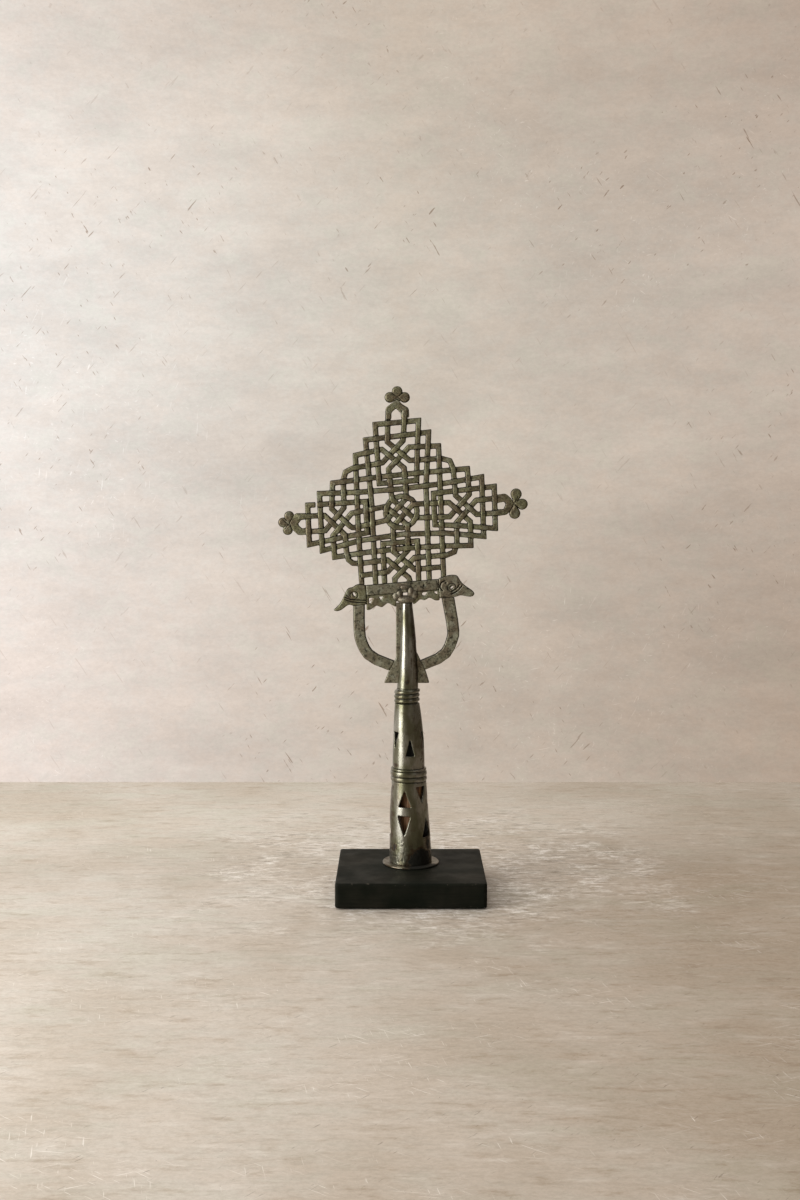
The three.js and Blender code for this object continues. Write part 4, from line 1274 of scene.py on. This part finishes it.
@dataclass
class Socket:
    """The pierced socket: a flange, two hollow stages, two collars and a cone."""

    lean: float = 0.0145
    bends: tuple[Point2, ...] = ((22, 0.2), (49, -0.15), (62, -0.5), (87, -0.35), (99, -0.5), (125, -0.25),
                                 (145, -0.6), (154, -0.9), (161, -1.1), (168, -0.4), (177, 0.2), (196, 0.5),
                                 (216, 0.35), (237, -0.1))
    top_of_stand: float = 21.0
    sheet: float = 1.8
    lap: float = 1.004
    # painted shade with dirt on the inner side of the socket's sheet
    inside_slope: float = 1.6
    inside_start: float = 0.45
    inside_shade_and_dirt: float = 0.9
    cone_inside_shade_and_dirt: float = 0.85
    grain: float = 0.42
    dent: float = 0.06
    dent_size: float = 9.0
    dent_stretch: Triple = (1, 1, 0.6)
    pit_size: float = 2.2
    pit_depth: float = 0.22
    pit_rim: float = 0.1
    pitted_over: float = 12.0
    flange_radius: float = 23.4
    flange_bore: float = 15.7
    rim_width: float = 2.0
    rim_wobble: Waves = Waves(17, 0.004, 2.7, 1)
    lower: Shell = Shell(22.5, 90.6, (17.5, 16.65, 14.3), (
        Row(31.7, 17.0, 0.7, False, (-17, 58, 112, 166, 220, 271)),
        Row(56.4, 13.7, 1.5, True, (-14.5, 43, 97, 151, 206, 260))), 11.6, -52,
        pitted_below=50.0)
    middle: Shell = Shell(101.3, 154.8, (13.2, 12.7, 10.1), (
        Row(20.8, 15.1, 2.2, True, (6, 77, 133, 189, 245, 301)),), 7.2, -27)
    cone: Shell = Shell(167.0, 237.0, (9.0, 7.65, 4.7))
    beads: tuple[Point2, ...] = ((15.0, 4.0), (15.05, 4.8), (14.7, 1.9))
    bead_depth: float = 1.25
    bead_fullness: float = 2.6
    bead_steps: int = 15
    bead_dent: float = 0.05
    collar_grain: float = 0.3
    bead_bore: float = 11.4
    wire: float = 1.82
    wire_radius: float = 8.78
    wire_slant: float = 0.06
    wire_fit: float = 0.97
    wire_grain: float = 0.4
    wander: float = 0.12
    wander_size: float = 8.0
    sleeve_grain: float = 0.5
    binding_bore: float = 8.3
    cone_grain: float = 0.34
    cone_skin: float = 0.4
    outer_steps: int = 12
    inner_steps: int = 8
    cone_hollow: float = 48.0
    slot: float = 1.8
    slot_clear: float = 20.0
    slot_foot: float = 171.2
    slot_shoulder: float = 204.3
    slot_right: float = 1.5
    seam_turn: float = 24.0
    seam_step: float = 0.28
    seam_end: float = 120.0
    seam_fade: float = 40.0
    stains_and_reflections: tuple[Stain, ...] = (
        Stain(30, 25, 37, 12, 1.4), Stain(62, 40, 18, 12, 0.55), Stain(-48, 37, 8, 3, 0.7),
        Stain(-75, 60, 22, 40, 0.4), Stain(75, 62, 16, 20, 0.45), Stain(-60, 104, 30, 2, 0.5),
        Stain(70, 120, 22, 30, 0.4), Stain(150, 45, 40, 16, 0.7), Stain(210, 80, 30, 25, 0.5),
        Stain(-140, 130, 35, 20, 0.5), Stain(0, 21.7, 400, 1.6, 0.4), Stain(-2, 173, 14, 2.2, 0.55),
        # Stain(62, 196, ...) darkens the cone's right side brown: a painted reflection
        Stain(62, 196, 24, 34, 0.5), Stain(20, 190, 4, 16, 0.35))

    def leaned(self, surface: Surface) -> Surface:
        """Marks the dark patches on a surface, tarnish and one painted reflection, and leans and bends it as
        the whole socket is.

        Args:
            surface: the surface, upright.

        Returns:
            The same surface.
        """
        stains_and_reflections = np.max([stain.share_at(surface.points) for stain in self.stains_and_reflections], axis=0)
        surface.store("stain", stains_and_reflections)
        heights, aside = zip(*self.bends)
        z = surface.points[:, 2]
        surface.points[:, 0] += np.interp(z, heights, aside) - self.lean * (z - self.top_of_stand)
        return surface

    def dented(self, surface: Surface, amount: float, seed: float) -> Surface:
        """Gives a surface the dents of hand-worked sheet, by their depth and a seed, and returns it."""
        surface.push(Waves(self.dent_size, amount, seed).at(surface.points * self.dent_stretch))
        return surface

    def marked(self, surface: Surface, inside: np.ndarray | float = 0.0, spread: int = 3) -> Surface:
        """Marks where painted shade and dirt lie on a surface: in its corners and on its inner side.

        Args:
            surface: the surface.
            inside: how far each point lies inside the metal.
            spread: how softly the corners are marked.

        Returns:
            The same surface.
        """
        surface.store("hollow", surface.hollows(spread, 2))
        surface.store("inside", inside + np.zeros(len(surface.points)))
        return surface

    def inner(self, surface: Surface, shell: Shell) -> np.ndarray:
        """Finds the points that lie inside a shell, which are dull and darkened by painted shade and dirt.

        Args:
            surface: the shell's surface.
            shell: the shell.

        Returns:
            0 for points on the outer side, and up to the most painted shade and dirt for points on the inner
            side.
        """
        x, y, z = surface.points.T
        depth = (shell.radius_at(z) - np.hypot(x, y)) / self.sheet
        return np.clip(depth * self.inside_slope - self.inside_start, 0, 1) * self.inside_shade_and_dirt

    def stage(self, shell: Shell, seed: float) -> Surface:
        """Cuts a flat sheet with its piercings and rolls it into a hollow stage.

        Args:
            shell: the stage.
            seed: moves its dents.

        Returns:
            The rolled surface.
        """
        unrolled = sum(shell.radii) / 3
        half = math.pi * unrolled
        lap = half * self.lap
        curve = bpy.data.curves.new("sheet", "CURVE")
        curve.dimensions = "2D"
        curve.fill_mode = "BOTH"
        curve.extrude = self.sheet / 2 * MM
        outlines = [[(-lap, shell.base), (lap, shell.base), (lap, shell.top), (-lap, shell.top)]]
        for row in shell.rows:
            outlines += row.outlines(shell.base, unrolled, shell.piercing_width, shell.joint_turn)
        for outline in outlines:
            spline = curve.splines.new("POLY")
            spline.points.add(len(outline) - 1)
            for point, (x, y) in zip(spline.points, outline):
                point.co = (x * MM, y * MM, 0, 1)
            spline.use_cyclic_u = True
        flat = Surface(remeshed(evaluated(placed("sheet", curve)), self.grain))
        across, z, rise = flat.points.T
        radius = shell.radius_at(z) - self.sheet / 2 + rise
        turn = across / unrolled + math.radians(shell.joint_turn + 180)
        flat.points = np.stack([radius * np.sin(turn), -radius * np.cos(turn), z], axis=-1)
        flat.write()
        surface = Surface(remeshed(flat.mesh, self.grain))
        surface.relax(5)
        # painted shade and dirt in the corners and on the inner side
        self.marked(surface, self.inner(surface, shell), 2)
        low = np.clip((shell.pitted_below - surface.points[:, 2]) / self.pitted_over, 0, 1)
        pits = np.minimum(Waves(self.pit_size, 1, seed + 4).at(surface.points), self.pit_rim)
        surface.push(pits * self.pit_depth * low)
        return self.leaned(self.dented(surface, self.dent, seed))

    def flange(self) -> Surface:
        """Builds the thin flange at the foot, a little uneven like beaten sheet.

        Returns:
            The surface.
        """
        low, high = self.top_of_stand, self.lower.base
        r = self.flange_radius
        edge = (high - low) / 2
        rim = arc((r - edge, low + edge), edge, -90, 90, 8)
        surface = revolved([(self.flange_bore, low), *rim, (self.flange_bore, high)], self.sleeve_grain)
        out = np.hypot(surface.points[:, 0], surface.points[:, 1])
        wobble = self.rim_wobble.at(surface.points) - self.rim_wobble.height / 2
        surface.points[:, :2] *= (1 + np.where(out > r - self.rim_width, wobble, 0))[:, None]
        return self.leaned(self.marked(surface))

    def collar(self) -> Surface:
        """Builds the middle collar with its three turned beads.

        Returns:
            The surface.
        """
        profile: list[Point2] = [(self.bead_bore, self.lower.top)]
        z = self.lower.top
        for radius, height in self.beads:
            for share in np.linspace(-1, 1, self.bead_steps):
                crest = (1 - abs(share) ** self.bead_fullness) ** 0.5
                profile.append((radius - self.bead_depth * (1 - crest), z + (1 + share) * height / 2))
            z += height
        profile.append((self.bead_bore, self.middle.base))
        surface = revolved(profile, self.collar_grain)
        return self.leaned(self.dented(self.marked(surface), self.bead_dent, 5.5))

    def binding(self) -> Surface:
        """Builds the upper collar: a sleeve and three turns of wire laid round it aslant.

        Returns:
            The surface.
        """
        r, bore = self.wire_radius, self.binding_bore
        low, high = self.middle.top, self.cone.base
        parts = [revolved([(bore, low), (r, low), (r, high), (bore, high)], self.sleeve_grain)]
        for i in (-1, 0, 1):
            middle = (r, (low + high) / 2 + 2 * self.wire * i)
            turn = revolved(arc(middle, self.wire * self.wire_fit, 0, 340, 17), self.wire_grain)
            wander = Waves(self.wander_size, self.wander, 3.1 * i + 9, 1).at(turn.points)
            turn.points[:, 2] += self.wire_slant * turn.points[:, 0] + wander
            parts.append(turn)
        surface = Surface(remeshed(joined(parts), self.collar_grain))
        surface.relax(2)
        surface.points[:, 2] = np.clip(surface.points[:, 2], low, high)
        return self.leaned(self.marked(surface))

    def slotted_cone(self) -> Surface:
        """Builds the cone, whose sheet laps over itself along the front, with its slots for the stem.

        Returns:
            The surface.
        """
        shell, sheet = self.cone, self.sheet
        low, high = shell.base, shell.top
        ceiling = low + self.cone_hollow
        heights = np.linspace(low, high, self.outer_steps)
        outer = list(zip(shell.radius_at(heights), heights))
        heights = np.linspace(ceiling, low, self.inner_steps)
        inner = list(zip(shell.radius_at(heights) - sheet, heights))
        body = revolved([(0, ceiling), *inner, *outer, (0, high)], self.sleeve_grain)
        clear, slot, foot = self.slot_clear, self.slot, self.slot_foot
        blocks = (((-clear, -slot, foot), (self.slot_right, slot, high + 1)),
                  ((0, -slot, foot), (clear, slot, self.slot_shoulder)))
        body.write()
        surface = Surface(remeshed(carved(body.mesh, blocks), self.cone_grain))
        surface.relax(3)
        x, y, z = surface.points.T
        turn = np.degrees(np.arctan2(x, -y)) - self.seam_turn
        lapped = (turn > 0) & (turn < self.seam_end)
        step = np.where(lapped, np.exp(-np.maximum(turn, 0) / self.seam_fade), 0)
        outside = np.hypot(x, y) > shell.radius_at(z) - self.cone_skin
        # painted shade with dirt on the cone's inner side
        self.marked(surface, np.where(outside, 0, self.cone_inside_shade_and_dirt))
        surface.push(np.where(outside, step * self.seam_step - self.seam_step, 0))
        return self.leaned(self.dented(surface, self.dent * 0.5, 7.9))

    def build(self) -> None:
        """Builds and dresses the socket."""
        metal = TarnishedWhiteMetal().material()
        made: dict[str, Callable[[], Surface]] = {
            "foot_flange": self.flange,
            "lower_stage": lambda: self.stage(self.lower, 1.3),
            "middle_collar": self.collar,
            "middle_stage": lambda: self.stage(self.middle, 3.7),
            "upper_collar": self.binding,
            "socket_cone": self.slotted_cone,
        }
        for node, make in made.items():
            settle(make(), f"{node}_metal", Body.CROSS, Slot.WHITE_METAL, metal, node)


@dataclass(frozen=True)
class HeadPlane:
    """The plane of the head, whose cells rise a little to the right and lean a little to the left."""

    aside: float = -7.1
    height: float = 311.1
    cell: float = 9.58
    rise: float = 0.085
    lean: float = 0.042

    def at(self, u: float, v: float) -> Point2:
        """Returns how far right and how high a point is in millimetres, from its cells right and up."""
        return (self.aside + self.cell * (u - self.lean * v), self.height + self.cell * (v + self.rise * u))


HEAD = HeadPlane()


@dataclass(frozen=True)
class Groove:
    """A line cut into a casting through points in cells, or a ridge where its depth is below 0."""

    points: tuple[Point2, ...]
    width: float = 0.9
    depth: float = 0.5

    def depth_at(self, points: np.ndarray) -> np.ndarray:
        """Gives how deep the line is cut at each point.

        Args:
            points: places in millimetres.

        Returns:
            The depths, in millimetres.
        """
        line = np.array([HEAD.at(*point) for point in self.points])
        flat = points[:, (0, 2)]
        near = np.full(len(flat), np.inf)
        for start, end in zip(line, line[1:]):
            span = end - start
            share = np.clip(((flat - start) @ span) / (span @ span), 0, 1)
            near = np.minimum(near, np.linalg.norm(flat - start - share[:, None] * span, axis=1))
        return self.depth * np.exp(-((near / (self.width / 2)) ** 2))


def run_together(drops: Sequence[tuple[Point2, Triple]]) -> bpy.types.Mesh:
    """Makes one form of round drops that overlap.

    Args:
        drops: the middle of each drop in cells, and its half-sizes in millimetres.

    Returns:
        The mesh of all the drops.
    """
    parts = []
    for middle, half in drops:
        drop = revolved(arc((0, 0), 1, -90, 90, 14), 0.2)
        x, z = HEAD.at(*middle)
        drop.points = drop.points * half + (x, 0, z)
        parts.append(drop)
    return joined(parts)


@dataclass(frozen=True)
class Casting:
    """A cast piece, worked up from its plain solid."""

    node: str
    grain: float = 0.36
    passes: int = 3
    rough: float = 0.06
    rough_size: float = 5.5
    # painted shade on the side walls: full below the first forward share of the normal, none above the second
    side_facing: Point2 = (0.53, 0.93)
    side_shade: float = 0.5
    corner_shade_and_grime: float = 1.0
    swell: float = 0.27
    eased: int = 4
    grooves: tuple[Groove, ...] = ()
    breaks: tuple[tuple[Triple, Triple], ...] = ()
    drops: tuple[tuple[Point2, Triple], ...] = ()

    def surface(self) -> Surface:
        """Rounds the solid, cuts its lines and gives it the uneven skin of a casting.

        Returns:
            The surface.
        """
        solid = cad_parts[self.node].data
        if self.breaks:
            solid = carved(solid, self.breaks)
        if self.drops:
            solid = run_together(self.drops)
        surface = Surface(remeshed(solid, self.grain))
        surface.relax(self.passes)
        facing = np.abs(surface.normals()[:, 1])
        depth = sum((groove.depth_at(surface.points) for groove in self.grooves), np.zeros(len(facing)))
        surface.push(-depth * facing)
        hollow = surface.hollows(1, 3)
        surface.ease(self.eased)
        seed = sum(map(ord, self.node)) % 17  # each casting has its own unevenness
        surface.push(self.swell + Waves(self.rough_size, self.rough, seed + 0.3).at(surface.points))
        # painted shade on walls that face sideways, joined with the painted shade and grime in corners
        full, none = self.side_facing
        side = np.clip((none - np.abs(surface.normals()[:, 1])) / (none - full), 0, 1)
        hollow *= np.where(hollow > 0, self.corner_shade_and_grime, 1)
        surface.hollow = np.maximum(hollow, side * self.side_shade)
        return surface


def ring(middle: Point2, radius: float) -> tuple[Point2, ...]:
    """Gives the points of a ring round a place on the head, in cells."""
    return tuple(arc(middle, radius, 0, 360, 12))


def cuts(width: float, depth: float, *lines: tuple[Point2, ...]) -> tuple[Groove, ...]:
    """Gives grooves of one width and depth along several lines."""
    return tuple(Groove(line, width, depth) for line in lines)


MOST_CELLS = 4096  # more than the cells along any side of the head


def near_others(surfaces: Sequence[Surface], reach: float) -> list[np.ndarray]:
    """Finds the points of each piece that lie close to another piece.

    Args:
        surfaces: the pieces.
        reach: how close a point has to be, in millimetres.

    Returns:
        For each piece, a number from 0 to 1 for each point.
    """
    steps = np.array([1, MOST_CELLS, MOST_CELLS ** 2])
    cells = [np.floor(surface.points / reach).astype(np.int64) + MOST_CELLS // 2 for surface in surfaces]
    taken = [np.unique(cell @ steps) for cell in cells]
    around = [np.array(way) @ steps for way in np.ndindex(3, 3, 3)]
    middle = steps.sum()
    made = []
    for i, (surface, cell) in enumerate(zip(surfaces, cells)):
        others = np.unique(np.concatenate([keys for j, keys in enumerate(taken) if j != i]))
        keys = cell @ steps
        near = np.any([np.isin(keys + way - middle, others) for way in around], axis=0).astype(float)
        for _ in range(2):
            near = surface.around(near) * 0.5 + near * 0.5
        made.append(near)
    return made


@dataclass
class Head:
    """The bronze head with its bar, birds, fringes, arms and finials, and the stem that carries it."""

    weathered: tuple[str, ...] = ("crossbar", "bird_head_right", "loop_arm_left", "loop_arm_right",
                                  "stem_plate")
    # how near and how dark the painted shade with grime is where cast pieces meet
    seam_reach: float = 0.3
    seam_shade_and_grime: float = 0.33
    castings: tuple[Casting, ...] = (
        Casting("lattice", grain=0.4, rough=0.07, swell=0.19, side_shade=0.64,
                breaks=(((-77.3, -6, 314.5), (-75.8, 6, 320.5)),)),
        Casting("finial_top", grooves=cuts(0.8, 0.45, ((-0.4, 10.0), (0.1, 9.6), (0.5, 9.15)),
                                           ((0.45, 9.95), (0.0, 9.6), (-0.8, 9.2)))),
        Casting("finial_left", grooves=cuts(0.8, 0.45, ((-10.1, 0.25), (-9.61, -0.24), (-9.15, -0.7)),
                                            ((-10.1, -0.75), (-9.61, -0.24), (-9.2, 0.2)))),
        Casting("finial_right", grooves=cuts(0.8, 0.45, ((9.8, 0.45), (9.5, -0.1), (9.3, -0.6)),
                                             ((9.9, -0.6), (9.5, -0.1), (9.2, 0.5)))),
        Casting("crossbar", grooves=(Groove(((2.62, -5.95), (2.78, -6.35), (2.66, -6.8)), 0.8, 0.4),
                                     Groove(((1.6, -6.3), (1.6, -6.4)), 1.4, 0.8),
                                     Groove(((0.0, -6.9), (0.15, -6.4), (0.45, -5.9)), 3.4, -0.5))),
        Casting("bird_head_left", grooves=(
            Groove(ring((-4.35, -6.69), 0.33), 1.1, 0.45),
            Groove(((-5.15, -6.5), (-4.85, -6.75), (-4.6, -7.05)), 0.9, 0.45))),
        Casting("bird_head_right", grooves=(
            Groove(ring((3.95, -6.72), 0.36), 1.1, 0.45),
            Groove(((4.2, -7.2), (4.45, -6.85), (4.6, -6.5)), 0.9, 0.45),
            Groove(((3.45, -6.1), (3.12, -6.2), (2.95, -6.5), (2.95, -6.75), (3.15, -6.93)), 1.2, 0.55),
            Groove(((3.48, -6.27), (3.48, -6.3)), 1.6, 0.9))),
        Casting("loop_arm_left", corner_shade_and_grime=0.3), Casting("loop_arm_right", corner_shade_and_grime=0.3),
        Casting("fringe_left"), Casting("fringe_right"),
        Casting("braze_joint", passes=8, rough=0.35, eased=14, swell=0.5, side_shade=0.1, corner_shade_and_grime=0.1,
                drops=(((0.05, -7.45), (7.4, 4.9, 3.2)), ((-0.8, -7.1), (2.9, 3.0, 3.9)),
                       ((0.78, -7.05), (2.8, 3.4, 4.2)), ((-0.5, -6.85), (2.7, 3.2, 4.2)),
                       ((0.45, -6.8), (2.6, 3.6, 4.8)), ((-0.05, -6.38), (5.4, 3.4, 2.3)),
                       ((0.35, -6.15), (2.8, 3.0, 3.0)))),
        Casting("stem_plate", rough=0.05, corner_shade_and_grime=0.3))

    def build(self) -> None:
        """Builds and dresses the head."""
        bronze, flat, lump = [finish.material() for finish in (BRONZE, WEATHERED_BRONZE, BRAZE_METAL)]
        finishes = dict.fromkeys(self.weathered, flat) | {"braze_joint": lump}
        surfaces = [casting.surface() for casting in self.castings]
        for casting, surface, near in zip(self.castings, surfaces, near_others(surfaces, self.seam_reach)):
            node = casting.node
            # painted shade with grime where one cast piece meets another
            shade_and_grime = near * self.seam_shade_and_grime * casting.corner_shade_and_grime
            surface.store("hollow", np.maximum(surface.hollow, shade_and_grime))
            settle(surface, f"{node}_cast", Body.CROSS, Slot.BRONZE, finishes.get(node, bronze), node)


@dataclass(frozen=True)
class Lamp:
    """A soft rectangular lamp: its place, width and height in millimetres, and its power in watts."""

    name: str
    place: Triple
    size: Point2
    power: float
    colour: Triple = (1.0, 0.98, 0.96)

    def hang(self, aim: Triple) -> None:
        """Hangs the lamp.

        Args:
            aim: the place that it faces, in millimetres.
        """
        data = bpy.data.lights.new(self.name, "AREA")
        data.shape = "RECTANGLE"
        data.size, data.size_y = self.size[0] * MM, self.size[1] * MM
        data.energy = self.power
        data.color = self.colour
        lamp = placed(self.name, data)
        lamp.visible_camera = False
        lamp.location = Vector(self.place) * MM
        lamp.rotation_euler = (Vector(aim) * MM - lamp.location).to_track_quat("-Z", "Y").to_euler()


@dataclass
class Studio:
    """The camera, the floor, the room and the lamps."""

    eye: Triple = (-8.7, -1138.0, 338.2)
    pitch: float = 4.96
    lens: float = 42.0
    sensor: float = 36.0
    floor_back: float = 404.0
    floor_reach: float = 1600.0
    aim: Triple = (0, 0, 200)
    lamps: tuple[Lamp, ...] = (
        Lamp("window", (-1120, -610, 540), (760, 1000), 19),
        Lamp("fill", (700, -1100, 900), (900, 900), 1.2, (1.0, 0.95, 0.9)),
        Lamp("top", (0, 200, 1300), (1200, 1200), 4.5))

    def camera(self) -> None:
        """Places the camera as the photograph was taken."""
        data = bpy.data.cameras.new("camera")
        data.lens = self.lens
        data.sensor_width = self.sensor
        camera = placed("camera", data)
        camera.location = Vector(self.eye) * MM
        camera.rotation_euler = (math.radians(90 - self.pitch), 0, 0)
        bpy.context.scene.camera = camera

    def floor(self) -> None:
        """Lays a pale floor that ends behind the object."""
        reach, back = self.floor_reach, self.floor_back
        corners = [(-reach, -reach, 0), (reach, -reach, 0), (reach, back, 0), (-reach, back, 0)]
        mesh = mesh_of(np.array(corners), [(0, 1, 2, 3)])
        mesh.materials.append(ScuffedFloor().material())
        floor = placed("floor", mesh)

    def build(self) -> None:
        """Sets up the studio."""
        bpy.context.scene.view_settings.view_transform = "Standard"
        bpy.context.scene.world = PaintedRoom().world()
        self.camera()
        self.floor()
        for lamp in self.lamps:
            lamp.hang(self.aim)


def main() -> None:
    """Builds the studio and the sub-assemblies in order."""
    logging.basicConfig(level=logging.INFO, format="%(name)s: %(message)s")
    for part in (Studio(), Stand(), Socket(), Head()):
        part.build()
        log.info("%s is built", type(part).__name__)


if __name__ == "__main__":
    main()
